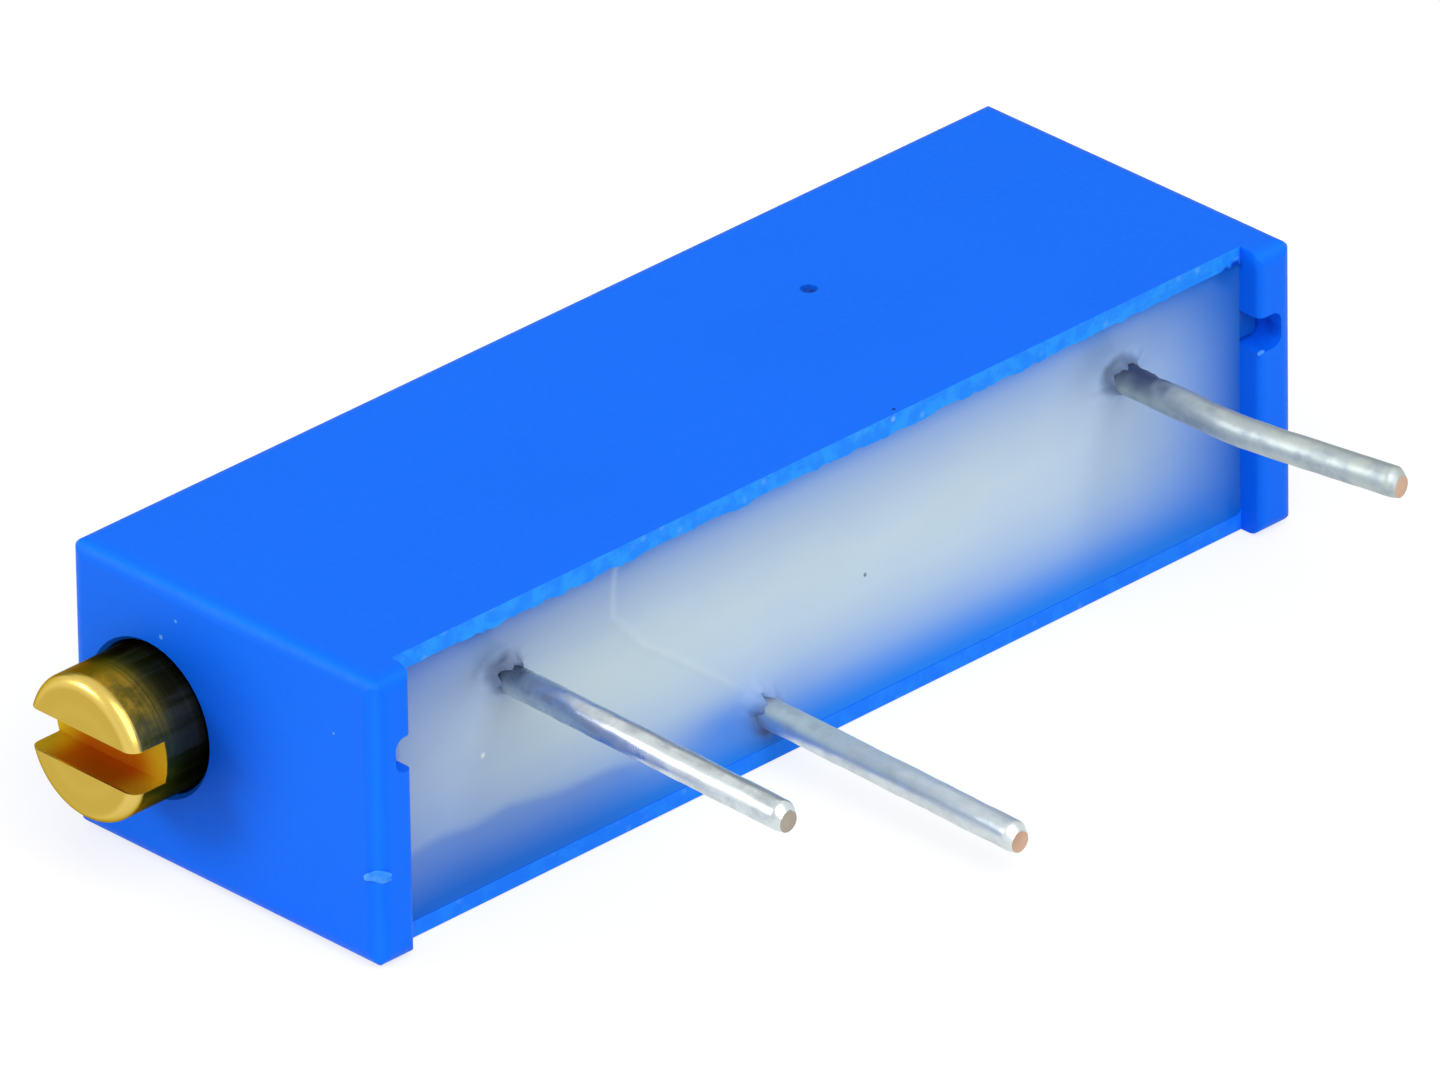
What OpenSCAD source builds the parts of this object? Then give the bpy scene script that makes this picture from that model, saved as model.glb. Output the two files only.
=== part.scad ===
// Rectangular multi-turn trimmer potentiometer, lying on its side.
// X runs along the body with the screw at -X, the pins point to -Y and Z is up.
// The origin is the middle of the side face that it lies on.

/* [Housing] */
// Length of the housing
body_l = 19.05; // [17:0.05:22]
// Height of the housing, from the standoff tips to the back
body_h = 6.45; // [6.2:0.05:7.5]
// Width of the housing, from side to side
body_w = 4.8; // [4.6:0.05:6]
// Radius of the outer moulded edges
edge_r = 0.26; // [0.05:0.01:0.3]
// Thickness of the end walls at the standoffs
leg_t = 0.74; // [0.6:0.02:1]
// Radius of the standoffs' inner edges
leg_edge_r = 0.12; // [0.04:0.01:0.16]
// Height of the standoffs above the rims of the long walls
standoff_h = 0.42; // [0.2:0.02:0.6]
// Thickness of the long walls round the sealing pocket
rim_t = 0.27; // [0.2:0.01:0.4]
// Height of the carriage bay, from the element's seat to the back wall
bay_h = 3.245; // [3.1:0.005:3.4]
// Thickness of the long walls round the carriage
guide_wall_t = 0.45; // [0.4:0.01:0.6]
// Thickness of the back wall
back_t = 0.43; // [0.35:0.01:0.6]
// Thickness of the end block that carries the screw head
block_t = 2.525; // [2.4:0.025:2.8]
// Thickness of the far end wall
far_wall_t = 1.275; // [1.1:0.025:1.6]

/* [Moulding marks] */
// Height of the notches in the standoffs
notch_h = 0.58; // [0.3:0.02:1]
// Depth of the notch at the screw end
notch_near = 0.33; // [0.1:0.01:0.5]
// Depth of the notch at the far end
notch_far = 0.45; // [0.1:0.01:0.55]
// Depth of both notches below the standoff tips
notch_sink = 0.75; // [0.3:0.05:1]
// Radius of the small sink pit in the upper side
pit_r = 0.13; // [0.05:0.01:0.2]

/* [Adjustment screw] */
// Distance of the screw's axis from the back of the housing
screw_back = 1.65; // [1.65:0.01:2]
// Diameter of the slotted head
head_d = 2.35; // [2:0.01:2.36]
// Length of the head outside the housing
head_proud = 1.38; // [0.8:0.02:2]
// Radius of the head's rim
head_edge_r = 0.2; // [0.04:0.01:0.22]
// Width of the screwdriver slot
slot_w = 0.68; // [0.4:0.02:0.9]
// Depth of the screwdriver slot
slot_depth = 0.62; // [0.3:0.02:0.8]
// Length of the head inside the housing
head_sunk = 0.85; // [0.6:0.05:0.9]
// Diameter of the sealing ring's cord
ring_cord_d = 0.44; // [0.38:0.01:0.46]
// Width of the sealing ring's groove
ring_groove_w = 0.62; // [0.55:0.01:0.64]
// Depth of the sealing ring's groove in the head
ring_groove_depth = 0.455; // [0.445:0.005:0.48]
// Diameter of the journal that turns in the end block
journal_d = 1.72; // [1.7:0.01:1.8]
// Thickness of the wall that the journal runs in
journal_wall_t = 0.5; // [0.4:0.01:0.55]
// Thickness of the retaining clip
clip_t = 0.28; // [0.2:0.01:0.3]
// Outer diameter of the retaining clip
clip_d = 2.2; // [2.1:0.01:2.3]
// Diameter of the groove that the clip snaps into
clip_groove_d = 1.15; // [1:0.01:1.2]
// Major diameter of the lead thread
thread_d = 1.66; // [1.5:0.01:1.7]
// Depth of the lead thread
thread_depth = 0.25; // [0.18:0.01:0.28]
// Pitch of the lead thread
pitch = 0.7; // [0.66:0.01:0.72]
// Diameter of the far pivot
pivot_d = 1.0; // [0.8:0.01:1.1]
// Length of the pivot inside the far wall
pivot_sunk = 0.6; // [0.4:0.02:0.8]

/* [Carriage] */
// Length of the carriage along the screw
carriage_l = 3.6; // [3.2:0.05:3.8]
// Distance from the element's face to the carriage
carriage_rise = 0.75; // [0.7:0.01:0.8]
// Number of turns from stop to stop
turns = 15; // [10:1:15]
// Number of half-nut teeth
nut_teeth = 3; // [1:1:4]
// Thickness of the contact spring's sheet
spring_t = 0.12; // [0.08:0.01:0.15]
// Width of each contact arm
arm_w = 0.72; // [0.65:0.01:0.8]
// Slope of the contact arms, in degrees
arm_slope = 26; // [24:0.5:30]
// Diameter of one brush wire
wire_d = 0.11; // [0.09:0.005:0.12]
// Number of wires in each brush
brush_wires = 5; // [3:1:5]

/* [Resistance element] */
// Thickness of the ceramic plate
plate_t = 0.64; // [0.5:0.01:0.7]
// Thickness of the printed films
film_t = 0.03; // [0.02:0.005:0.05]
// Width of the resistive track
track_w = 0.95; // [0.75:0.01:1]
// Width of the collector track
collector_w = 0.7; // [0.6:0.01:0.75]
// Length of an end pad along the body
pad_l = 1.1; // [0.9:0.05:1.2]

/* [Pins] */
// Diameter of the round pins
pin_d = 0.48; // [0.4:0.01:0.52]
// Length of the screw-end pin beyond the standoffs
near_pin_out = 5.08; // [3:0.02:8]
// Length of the wiper pin beyond the standoffs
wiper_pin_out = 4.72; // [3:0.02:8]
// Length of the far pin beyond the standoffs
far_pin_out = 4.6; // [3.5:0.02:8]
// Spacing of the two end pins
end_pin_gap = 12.7; // [12:0.01:13]
// Spacing from the screw-end pin to the wiper pin along the body
wiper_pin_gap = 5.08; // [4.8:0.01:7.6]
// Spacing of the two pin rows across the width
row_gap = 2.54; // [2.4:0.01:2.6]
// Distance of the end pins' middle from the middle of the housing, away from the screw
pin_shift = 0.21; // [0:0.01:0.3]
// Distance from the low row of pins to the inside of the lower long wall
row_margin = 0.54; // [0.5:0.01:0.65]
// Lean of the straight pins towards the lower side, in degrees
pin_lean = 1; // [0:0.1:1.5]
// Bend of the far pin away from the screw, in degrees
far_bend = 10; // [2:0.5:15]
// Distance from the standoff tips to the start of that bend
bend_start = 1.2; // [0.8:0.05:2]
// Radius of that bend
bend_r = 6; // [3:0.5:10]
// Radius of the pins' cut shoulders
tip_r = 0.06; // [0.04:0.01:0.18]
// Length of the waist by which the seal grips each pin
waist_l = 0.72; // [0.6:0.02:0.8]
// Diameter at the middle of that waist
waist_d = 0.36; // [0.3:0.01:0.38]

/* [Epoxy seal] */
// Depth of the seal's rim below the standoff tips
seal_rim = 0.47; // [0.44:0.01:0.8]
// Sag of the seal's surface between the long walls
seal_sag = 0.42; // [0.2:0.01:0.6]
// Height that the seal climbs up each pin
collar_h = 0.36; // [0.1:0.01:0.45]
// Width of the seal's fillet round each pin
collar_w = 0.3; // [0.1:0.01:0.35]
// Height of the resin in the notch at the screw end above the seal's rim
seal_overrun = 0.2; // [0:0.01:0.4]

/* [Fits] */
// Radial clearance of the head in its bore
head_fit = 0.045; // [0.02:0.005:0.08]
// Radial clearance of the journal and the pivot
journal_fit = 0.03; // [0.02:0.005:0.06]
// Radial clearance of the thread's crests in the carriage
thread_fit = 0.06; // [0.03:0.005:0.08]
// Clearance of the carriage to the walls that guide it
guide_fit = 0.06; // [0.03:0.005:0.08]
// End clearance of the screw's flange and clip
thrust_fit = 0.055; // [0.03:0.005:0.08]
// Clearance of the brush tips above the tracks
brush_fit = 0.02; // [0.01:0.005:0.03]
// Clearance of the ceramic plate in its pocket
plate_fit = 0.04; // [0.02:0.005:0.06]

/* [Hidden] */

$fn = 64;
eps = 0.01;
over = 1;

x_near = -body_l/2;
x_far = body_l/2;
y_tips = -body_h/2;
y_back = body_h/2;
y_rim = y_tips + standoff_h;
y_roof = y_back - back_t;
y_seat = y_roof - bay_h;
mid_z = body_w/2;
screw_y = y_back - screw_back;
pocket_x = x_far - leg_t;
x_block = x_near + block_t;
x_wall = x_far - far_wall_t;
row_low = rim_t + row_margin;
row_high = row_low + row_gap;
notch_rise = 0.07;
notch_z = row_high + notch_rise;
notch_r = 0.18;
pocket_r = 0.1;
bay_r = 0.2;
corner_trim_share = 1.13;
pit_x = 3.39;
pit_y = 0.87;
mouth_c = 0.07;

head_r = head_d/2;
bore_r = head_r + head_fit;
ring_groove_r = head_r - ring_groove_depth;
x_step = x_block - journal_wall_t;
x_head = x_near - head_proud;
x_groove = x_near + head_sunk;
x_flange = x_groove + ring_groove_w;
x_shoulder = x_step - thrust_fit;
x_clip_groove = x_block + thrust_fit;
clip_slack = 0.02;
x_clip = x_clip_groove + clip_slack;
x_collar = x_clip + clip_t + clip_slack;
collar_l = 0.3;
x_thread = x_collar + collar_l;
pivot_free = 0.85;
pivot_slack = 0.1;
x_pivot = x_wall - pivot_free;
x_pivot_end = x_wall + pivot_sunk;
thread_r = thread_d/2;
root_r = thread_r - thread_depth;

// Helix: the profile's corners as shares of the pitch, from one root to the next
THREAD_CORNERS = [[0, 0], [0.2, 1], [0.42, 1], [0.62, 0]];
groove_mid = (1 + THREAD_CORNERS[3][0])/2;
turn_steps = 18;
thread_lead_in = 0.1;
thread_x0 = x_thread + thread_lead_in;
thread_steps = floor(((x_pivot - thread_lead_in - thread_x0)/pitch - THREAD_CORNERS[3][0])*turn_steps);

travel = turns*pitch/2;
stop_gap = 0.35;
carriage_x = x_wall - stop_gap - travel - carriage_l/2;
y_film = y_seat + film_t;
y_carriage = y_seat + carriage_rise;
y_carriage_top = y_roof - guide_fit;
carriage_half_w = mid_z - guide_wall_t - guide_fit;
// The tooth sits in the groove that faces the pins, half a turn from the helix's start
tooth_turn = round((carriage_x - thread_x0)/pitch - groove_mid - 0.5);
tooth_x = thread_x0 + (tooth_turn + groove_mid + 0.5)*pitch;
lead_angle = atan(pitch/(PI*(thread_r + root_r)));
tooth_arc = 80;
stake_d = 0.4;
stake_gap = 1.5;
stake_reach = 1.05;
stake_x = carriage_x + stake_reach;
stake_head_w = 0.1;
stake_head_t = 0.08;
stake_hole_fit = 0.02;
shoe_inset = 0.5;
shoe_half_l = 0.3;
shoe_h = 0.1;
shoe_low = 0.4;
shoe_top = 0.5;
core_l = 1;
core_w = 2;
core_depth = 0.2;
carriage_r = 0.25;
tooth_tip = 0.07;
tooth_tip_half_w = 0.07;
tooth_root_half_w = 0.17;
tooth_sunk = 0.04;

near_x = pin_shift - end_pin_gap/2;
wiper_x = near_x + wiper_pin_gap;
far_x = near_x + end_pin_gap;
pin_r = pin_d/2;
pin_in = 0.2;
bend_thinning = 0.006;
y_pin_top = y_seat + pin_in;
waist_sunk = 0.12;
waist_at = y_pin_top - y_rim - waist_sunk - waist_l;
pin_hole_fit = 0.04;
pin_hole_r = pin_r + pin_hole_fit;
solder_w = 0.1;
solder_top_w = 0.03;
solder_r = pin_r + solder_w;
well_fit = 0.06;
film_r = 0.05;
film_margin = 0.1;
track_inset = 0.25;
track_z = row_high - track_inset;
collector_inset = 0.74;
collector_z = row_low + collector_inset;
contact_mid_z = (track_z + collector_z)/2;
brush_bottom = y_film + brush_fit;
wire_r = wire_d/2;
arm_reach = 0.35;
arm_x = carriage_x + arm_reach;
arm_l = 0.7;
spring_r = 0.12;
spring_short = 0.15;
brush_margin = 0.05;
weld_from = 0.22;
weld_l = 0.3;
weld_margin = 0.02;
// Distance along the arm at which a wire's round tip reaches the track
wire_drop = y_carriage - spring_t/2 - (spring_t/2 + wire_r)*cos(arm_slope) - brush_bottom - wire_r;
wire_l = wire_drop/sin(arm_slope);

plate_x = pocket_x - plate_fit;
plate_low = rim_t + plate_fit;
plate_high = body_w - rim_t - plate_fit;
y_plate_out = y_seat - plate_t;
y_seal = y_tips + seal_rim;
seal_half_w = mid_z - rim_t;
collar_foot = 0.1;
collar_lip = 0.04;
trough_r = (seal_half_w*seal_half_w + seal_sag*seal_sag)/(2*seal_sag);
y_seal_mid = y_seal + seal_sag;

// Children drawn in the plane become a prism along X: their x lies on Y and their y on Z
module along_x(from, to) {
    translate([from, 0, 0]) rotate([90, 0, 90]) linear_extrude(to - from) children();
}

// Children drawn in the plane become a prism along Y: their x lies on X and their y on Z
module along_y(from, to) {
    translate([0, to, 0]) rotate([90, 0, 0]) linear_extrude(to - from) children();
}

module rod_x(from, to, r) {
    translate([from, 0, 0]) rotate([0, 90, 0]) cylinder(h = to - from, r = r);
}

module rod_y(from, to, r) {
    translate([0, from, 0]) rotate([-90, 0, 0]) cylinder(h = to - from, r = r);
}

module on_screw_axis() {
    translate([0, screw_y, mid_z]) children();
}

module rounded_rect(w, h, r) {
    square([w - 2*r, h], center = true);
    square([w, h - 2*r], center = true);
    for (x = [-1, 1], y = [-1, 1]) translate([x*(w/2 - r), y*(h/2 - r)]) circle(r);
}

// Rectangle from one corner to the other, with rounded corners
module rounded_span(low, high, r) {
    translate([(low.x + high.x)/2, (low.y + high.y)/2])
        rounded_rect(high.x - low.x, high.y - low.y, r);
}

// Eight slanting faces that take the points off the block's corners
module corner_trim() {
    reach = (body_l + body_h + body_w)/2 - corner_trim_share*edge_r;
    translate([0, 0, mid_z]) polyhedron(
        points = [[reach, 0, 0], [-reach, 0, 0], [0, reach, 0], [0, -reach, 0], [0, 0, reach],
                  [0, 0, -reach]],
        faces = [[0, 4, 2], [0, 3, 4], [1, 2, 4], [1, 4, 3], [0, 2, 5], [0, 5, 3], [1, 5, 2],
                 [1, 3, 5]]);
}

module outer_block() {
    intersection() {
        along_x(x_near, x_far) translate([0, mid_z]) rounded_rect(body_h, body_w, edge_r);
        along_y(y_tips, y_back) translate([0, mid_z]) rounded_rect(body_l, body_w, edge_r);
        linear_extrude(body_w) rounded_rect(body_l, body_h, edge_r);
        corner_trim();
    }
}

// Space between the standoffs, over the long walls' rims, whose sides round off at the tips
module standoff_relief() {
    translate([0, 0, -over]) linear_extrude(body_w + 2*over) {
        translate([-pocket_x, y_tips - over]) square([2*pocket_x, standoff_h + over]);
        for (side = [-1, 1]) difference() {
            translate([side*pocket_x, y_tips]) square([2*leg_edge_r, 2*leg_edge_r], center = true);
            translate([side*(pocket_x + leg_edge_r), y_tips + leg_edge_r]) circle(leg_edge_r);
        }
    }
}

module sealing_pocket() {
    along_y(y_tips - over, y_seat)
        rounded_span([-pocket_x, rim_t], [pocket_x, body_w - rim_t], pocket_r);
}

module carriage_cavity() {
    along_x(x_block, x_wall)
        rounded_span([y_seat - over, guide_wall_t], [y_roof, body_w - guide_wall_t], bay_r);
}

module at_pins() {
    for (p = [[near_x, row_high], [wiper_x, row_low], [far_x, row_high]])
        translate([p.x, 0, p.y]) children();
}

// Room for the printed films and for the solder round each pin, where a wall stands close
module element_relief() {
    along_y(y_seat - eps, y_film + film_t)
        rounded_span([near_x - pad_l/2 - film_margin, collector_z - collector_w/2 - film_margin],
                     [far_x + pad_l/2 + film_margin, track_z + track_w/2 + film_margin], film_r);
    at_pins() rod_y(y_seat - eps, y_pin_top + well_fit, solder_r + well_fit);
}

module screw_bores() {
    on_screw_axis() {
        rod_x(x_near - over, x_step, bore_r);
        rod_x(x_step - eps, x_block + eps, journal_d/2 + journal_fit);
        rod_x(x_wall - eps, x_pivot_end + pivot_slack, pivot_d/2 + journal_fit);
        translate([x_near, 0, 0]) rotate([0, 90, 0])
            translate([0, 0, -eps]) cylinder(h = mouth_c + eps, r1 = bore_r + mouth_c, r2 = bore_r);
    }
}

module standoff_notch(edge_x, depth) {
    along_y(y_tips - over, y_tips + notch_sink)
        translate([edge_x, notch_z]) rounded_rect(2*depth, notch_h, notch_r);
}

module housing() {
    color([0.05, 0.36, 0.96])
    difference() {
        outer_block();
        standoff_relief();
        sealing_pocket();
        carriage_cavity();
        element_relief();
        screw_bores();
        standoff_notch(-pocket_x, notch_near);
        standoff_notch(pocket_x, notch_far);
        translate([pit_x, pit_y, body_w]) sphere(pit_r);
    }
}

// Slotted head, seal groove, flange, journal and clip groove as one turned profile
module screw_turning() {
    rotate([0, 90, 0]) rotate_extrude() {
        polygon([
            [0, x_head], [head_r - head_edge_r, x_head], [head_r, x_head + head_edge_r],
            [head_r, x_groove], [ring_groove_r, x_groove], [ring_groove_r, x_flange],
            [head_r, x_flange], [head_r, x_shoulder], [journal_d/2, x_shoulder],
            [journal_d/2, x_clip_groove], [clip_groove_d/2, x_clip_groove],
            [clip_groove_d/2, x_collar], [journal_d/2, x_collar], [journal_d/2, x_thread],
            [0, x_thread]
        ]);
        translate([head_r - head_edge_r, x_head + head_edge_r]) intersection() {
            circle(head_edge_r);
            translate([0, -head_edge_r]) square(head_edge_r);
        }
    }
}

// Corner i of the thread's profile, step s along the helix
function helix_point(s, i) =
    let (turn = 360*s/turn_steps,
         fade = min(1, 0.1 + s/turn_steps, 0.1 + (thread_steps - s)/turn_steps),
         r = root_r + thread_depth*THREAD_CORNERS[i][1]*fade)
    [thread_x0 + pitch*(s/turn_steps + THREAD_CORNERS[i][0]), r*cos(turn), r*sin(turn)];

function root_ring(x) =
    [for (j = [0:turn_steps - 1]) [x, root_r*cos(360*j/turn_steps), root_r*sin(360*j/turn_steps)]];

// Threaded length as one closed skin: a root ring, the helix's slices and a root ring again
module lead_thread() {
    n = turn_steps;
    last = thread_steps;
    slices = [for (s = [0:last]) for (i = [0:3]) helix_point(s, i)];
    first_ring = 4*(last + 1);
    last_ring = first_ring + n;
    end_turn = last % n;
    function at(s, i) = 4*s + i;
    function start_at(j) = first_ring + (j % n);
    function end_at(j) = last_ring + ((end_turn + j) % n);
    profile_faces = [for (s = [0:last - 1]) for (i = [0:2])
        [at(s, i), at(s, i + 1), at(s + 1, i + 1), at(s + 1, i)]];
    root_faces = [for (s = [0:last - n - 1])
        [at(s, 3), at(s + n, 0), at(s + n + 1, 0), at(s + 1, 3)]];
    start_faces = [for (j = [0:n - 2])
        [start_at(j), at(j, 0), at(j + 1, 0), start_at(j + 1)]];
    // Where the helix starts, one side of the strip has the thread's blunt end on it
    start_line = [at(n, 0), at(0, 3), at(0, 0), start_at(0), start_at(n - 1)];
    start_seam = [for (k = [0:3]) [at(n - 1, 0), start_line[k], start_line[k + 1]]];
    start_end = [[at(0, 0), at(0, 3), at(0, 2), at(0, 1)]];
    end_faces = [for (j = [1:n - 1])
        [at(last - n + j, 3), end_at(j), end_at(j + 1), at(last - n + j + 1, 3)]];
    end_line = [at(last - n, 3), at(last, 0), at(last, 3), end_at(0), end_at(1)];
    end_seam = [for (k = [0:3]) [at(last - n + 1, 3), end_line[k], end_line[k + 1]]];
    end_end = [[at(last, 0), at(last, 1), at(last, 2), at(last, 3)]];
    caps = [[for (j = [0:n - 1]) start_at(j)], [for (j = [n - 1:-1:0]) end_at(j)]];
    polyhedron(
        points = concat(slices, root_ring(x_thread), root_ring(x_pivot)),
        faces = concat(profile_faces, root_faces, start_faces, start_seam, start_end,
                       end_faces, end_seam, end_end, caps)
    );
}

module adjustment_screw() {
    color([0.83, 0.68, 0.22])
    on_screw_axis() {
        difference() {
            screw_turning();
            translate([x_head - over, -head_r - over, -slot_w/2])
                cube([slot_depth + over, 2*(head_r + over), slot_w]);
        }
        lead_thread();
        rod_x(x_pivot, x_pivot_end, pivot_d/2);
    }
}

module sealing_ring() {
    color([0.09, 0.09, 0.09])
    on_screw_axis()
        translate([(x_groove + x_flange)/2, 0, 0]) rotate([0, 90, 0])
            rotate_extrude() translate([ring_groove_r + ring_cord_d/2 + clip_slack, 0])
                circle(ring_cord_d/2);
}

// Open ring that snaps over the groove from the pin side
module retaining_clip() {
    color([0.72, 0.74, 0.76])
    on_screw_axis()
        along_x(x_clip, x_clip + clip_t) difference() {
            circle(clip_d/2);
            circle(clip_groove_d/2 + clip_slack);
            translate([-clip_d, -clip_groove_d*0.38]) square([clip_d, clip_groove_d*0.76]);
        }
}

// One half-nut tooth: a short arc of a trapezoid, tilted by the thread's lead
module nut_tooth() {
    tip = root_r + tooth_tip;
    base = thread_r + thread_fit + tooth_sunk;
    rotate([0, -lead_angle, 0]) rotate([0, 90, 0]) rotate([0, 0, 90 - tooth_arc/2 + 180])
        rotate_extrude(angle = tooth_arc)
            polygon([
                [tip, -tooth_tip_half_w], [base, -tooth_root_half_w],
                [base, tooth_root_half_w], [tip, tooth_tip_half_w]
            ]);
}

module carriage() {
    bore_wall_r = thread_r + thread_fit;
    color([0.93, 0.92, 0.88]) {
        difference() {
            union() {
                along_x(carriage_x - carriage_l/2, carriage_x + carriage_l/2)
                    rounded_span([y_carriage, mid_z - carriage_half_w + shoe_h],
                                 [y_carriage_top, mid_z + carriage_half_w - shoe_h], carriage_r);
                for (x = [-1, 1]) translate([carriage_x + x*(carriage_l/2 - shoe_inset), 0, 0])
                    along_x(-shoe_half_l, shoe_half_l)
                        rounded_span([y_carriage + shoe_low, mid_z - carriage_half_w],
                                     [y_carriage_top - shoe_top, mid_z + carriage_half_w], shoe_h);
                at_stakes() {
                    rod_y(y_carriage - spring_t - stake_head_t, y_carriage + eps, stake_d/2);
                    rod_y(y_carriage - spring_t - stake_head_t, y_carriage - spring_t,
                          stake_d/2 + stake_head_w);
                }
            }
            on_screw_axis() rod_x(carriage_x - carriage_l, carriage_x + carriage_l, bore_wall_r);
            for (x = [-1, 1])
                translate([carriage_x + x*carriage_l/4 - core_l/2, y_carriage_top - core_depth,
                           mid_z - core_w/2])
                    cube([core_l, core_depth + over, core_w]);
        }
        for (k = [0:nut_teeth - 1])
            translate([tooth_x + (k - floor(nut_teeth/2))*pitch, screw_y, mid_z]) nut_tooth();
    }
}

module at_stakes() {
    for (z = [-1, 1]) translate([stake_x, 0, contact_mid_z + z*stake_gap/2]) children();
}

// Frame at the bend of a contact arm: its x runs down the arm to the track
module at_arm(z) {
    translate([arm_x, y_carriage - spring_t/2, z]) rotate([0, 0, 180 + arm_slope]) children();
}

module contact_spring() {
    plate_end = carriage_x + carriage_l/2 - spring_short;
    half_span = (track_z - collector_z + arm_w)/2;
    color([0.8, 0.62, 0.36]) {
        difference() {
            along_y(y_carriage - spring_t, y_carriage)
                rounded_span([arm_x, contact_mid_z - half_span], [plate_end, contact_mid_z + half_span],
                             spring_r);
            at_stakes() rod_y(y_carriage - 2*spring_t, y_carriage + over, stake_d/2 + stake_hole_fit);
        }
        for (z = [collector_z, track_z]) {
            at_arm(z) translate([0, -spring_t/2, -arm_w/2]) cube([arm_l, spring_t, arm_w]);
            translate([arm_x, y_carriage - spring_t/2, z])
                cylinder(h = arm_w, r = spring_t/2, center = true);
        }
    }
}

// Rod drawn up its own Z, with a round end
module round_stick(length, r) {
    rotate_extrude($fn = 32) {
        square([r, length]);
        translate([0, length]) intersection() {
            circle(r);
            square(r);
        }
    }
}

// Row of wires welded under a contact arm, with round tips on the track
module brush(z) {
    gap = (arm_w - 2*brush_margin)/(brush_wires + 0.3);
    side = spring_t/2 + wire_r;
    color([0.86, 0.84, 0.78])
    at_arm(z) {
        for (i = [0:brush_wires - 1])
            translate([weld_from, side, (i - (brush_wires - 1)/2)*gap]) rotate([0, 90, 0])
                round_stick(wire_l - weld_from, wire_r);
        translate([weld_from - eps, spring_t/2, weld_margin - arm_w/2])
            cube([weld_l, wire_r, arm_w - 2*weld_margin]);
    }
}

module resistive_brush() { brush(track_z); }
module collector_brush() { brush(collector_z); }

module pin_holes() {
    at_pins() rod_y(y_plate_out - over, y_seat + over, pin_hole_r);
}

module ceramic_plate() {
    color([0.92, 0.91, 0.88])
    difference() {
        along_y(y_plate_out, y_seat)
            rounded_span([-plate_x, plate_low], [plate_x, plate_high], pocket_r - plate_fit/2);
        pin_holes();
    }
}

module film(low, high) {
    along_y(y_seat, y_film) rounded_span(low, high, film_r);
}

module resistive_track() {
    color([0.12, 0.12, 0.13])
    film([near_x + pad_l/2, track_z - track_w/2], [far_x - pad_l/2, track_z + track_w/2]);
}

module collector_track() {
    color([0.75, 0.75, 0.72])
    difference() {
        union() {
            film([near_x, collector_z - collector_w/2], [far_x, collector_z + collector_w/2]);
            translate([wiper_x, 0, row_low]) rod_y(y_seat, y_film, solder_r);
            film([wiper_x - solder_r, row_low], [wiper_x + solder_r, collector_z]);
        }
        pin_holes();
    }
}

// Silver pad over an end of the track, reaching round its pin's hole
module end_pad(x) {
    color([0.78, 0.78, 0.75])
    difference() {
        union() {
            film([x - pad_l/2, track_z - track_w/2], [x + pad_l/2, track_z + track_w/2]);
            translate([x, 0, row_high]) rod_y(y_seat, y_film, solder_r);
        }
        pin_holes();
    }
}

module near_end_pad() { end_pad(near_x); }
module far_end_pad() { end_pad(far_x); }

// Half outline of a pin from its inner end, with the waist, up to a given length
module pin_root_outline(length) {
    polygon([
        [0, 0], [pin_r, 0], [pin_r, waist_at], [waist_d/2, waist_at + waist_l/2],
        [pin_r, waist_at + waist_l], [pin_r, length], [0, length]
    ]);
}

// Half outline of a pin's cut end, with its rounded shoulder
module pin_tip_outline() {
    square([pin_r - tip_r, tip_r]);
    translate([pin_r - tip_r, 0]) intersection() {
        circle(tip_r);
        square(tip_r);
    }
}

module straight_pin(x, z, out) {
    length = y_pin_top - y_tips + out;
    translate([x, y_pin_top, z]) rotate([90 + pin_lean, 0, 0])
        rotate_extrude() {
            pin_root_outline(length - tip_r);
            translate([0, length - tip_r]) pin_tip_outline();
        }
}

module near_end_pin() {
    color([0.78, 0.79, 0.8]) straight_pin(near_x, row_high, near_pin_out);
}

module wiper_pin() {
    color([0.78, 0.79, 0.8]) straight_pin(wiper_x, row_low, wiper_pin_out);
}

// The far pin stands straight, bends away from the screw and runs on straight
module far_end_pin() {
    straight = y_pin_top - y_tips + bend_start;
    end_l = (far_pin_out - bend_start - bend_r*sin(far_bend))/cos(far_bend);
    color([0.78, 0.79, 0.8])
    translate([far_x, y_pin_top, row_high]) rotate([90, 0, 0]) {
        rotate_extrude() pin_root_outline(straight + eps);
        translate([bend_r, 0, straight]) {
            rotate([90, 0, 180])
                rotate_extrude(angle = far_bend) translate([bend_r, 0]) circle(pin_r - bend_thinning);
            rotate([0, far_bend, 0]) translate([-bend_r, 0, -eps])
                rotate_extrude() {
                    square([pin_r, end_l - tip_r + eps]);
                    translate([0, end_l - tip_r + eps]) pin_tip_outline();
                }
        }
    }
}

// Low ring of solder round a pin's inner end, on its pad
module solder_ring(x, z) {
    color([0.7, 0.72, 0.74])
    difference() {
        translate([x, y_film, z]) rotate([-90, 0, 0])
            cylinder(h = pin_in - film_t, r1 = solder_r, r2 = pin_r + solder_top_w);
        children();
    }
}

module near_solder() { solder_ring(near_x, row_high) near_end_pin(); }
module wiper_solder() { solder_ring(wiper_x, row_low) wiper_pin(); }
module far_solder() { solder_ring(far_x, row_high) far_end_pin(); }

// Fillet of resin that climbs up a pin from the dished surface
module seal_collar(x, z) {
    foot = y_seal_mid + collar_foot;
    top = y_seal_mid - collar_h;
    translate([x, foot, z]) rotate([90, 0, 0])
        cylinder(h = foot - top, r1 = pin_r + collar_w, r2 = pin_r + collar_lip);
}

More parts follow.
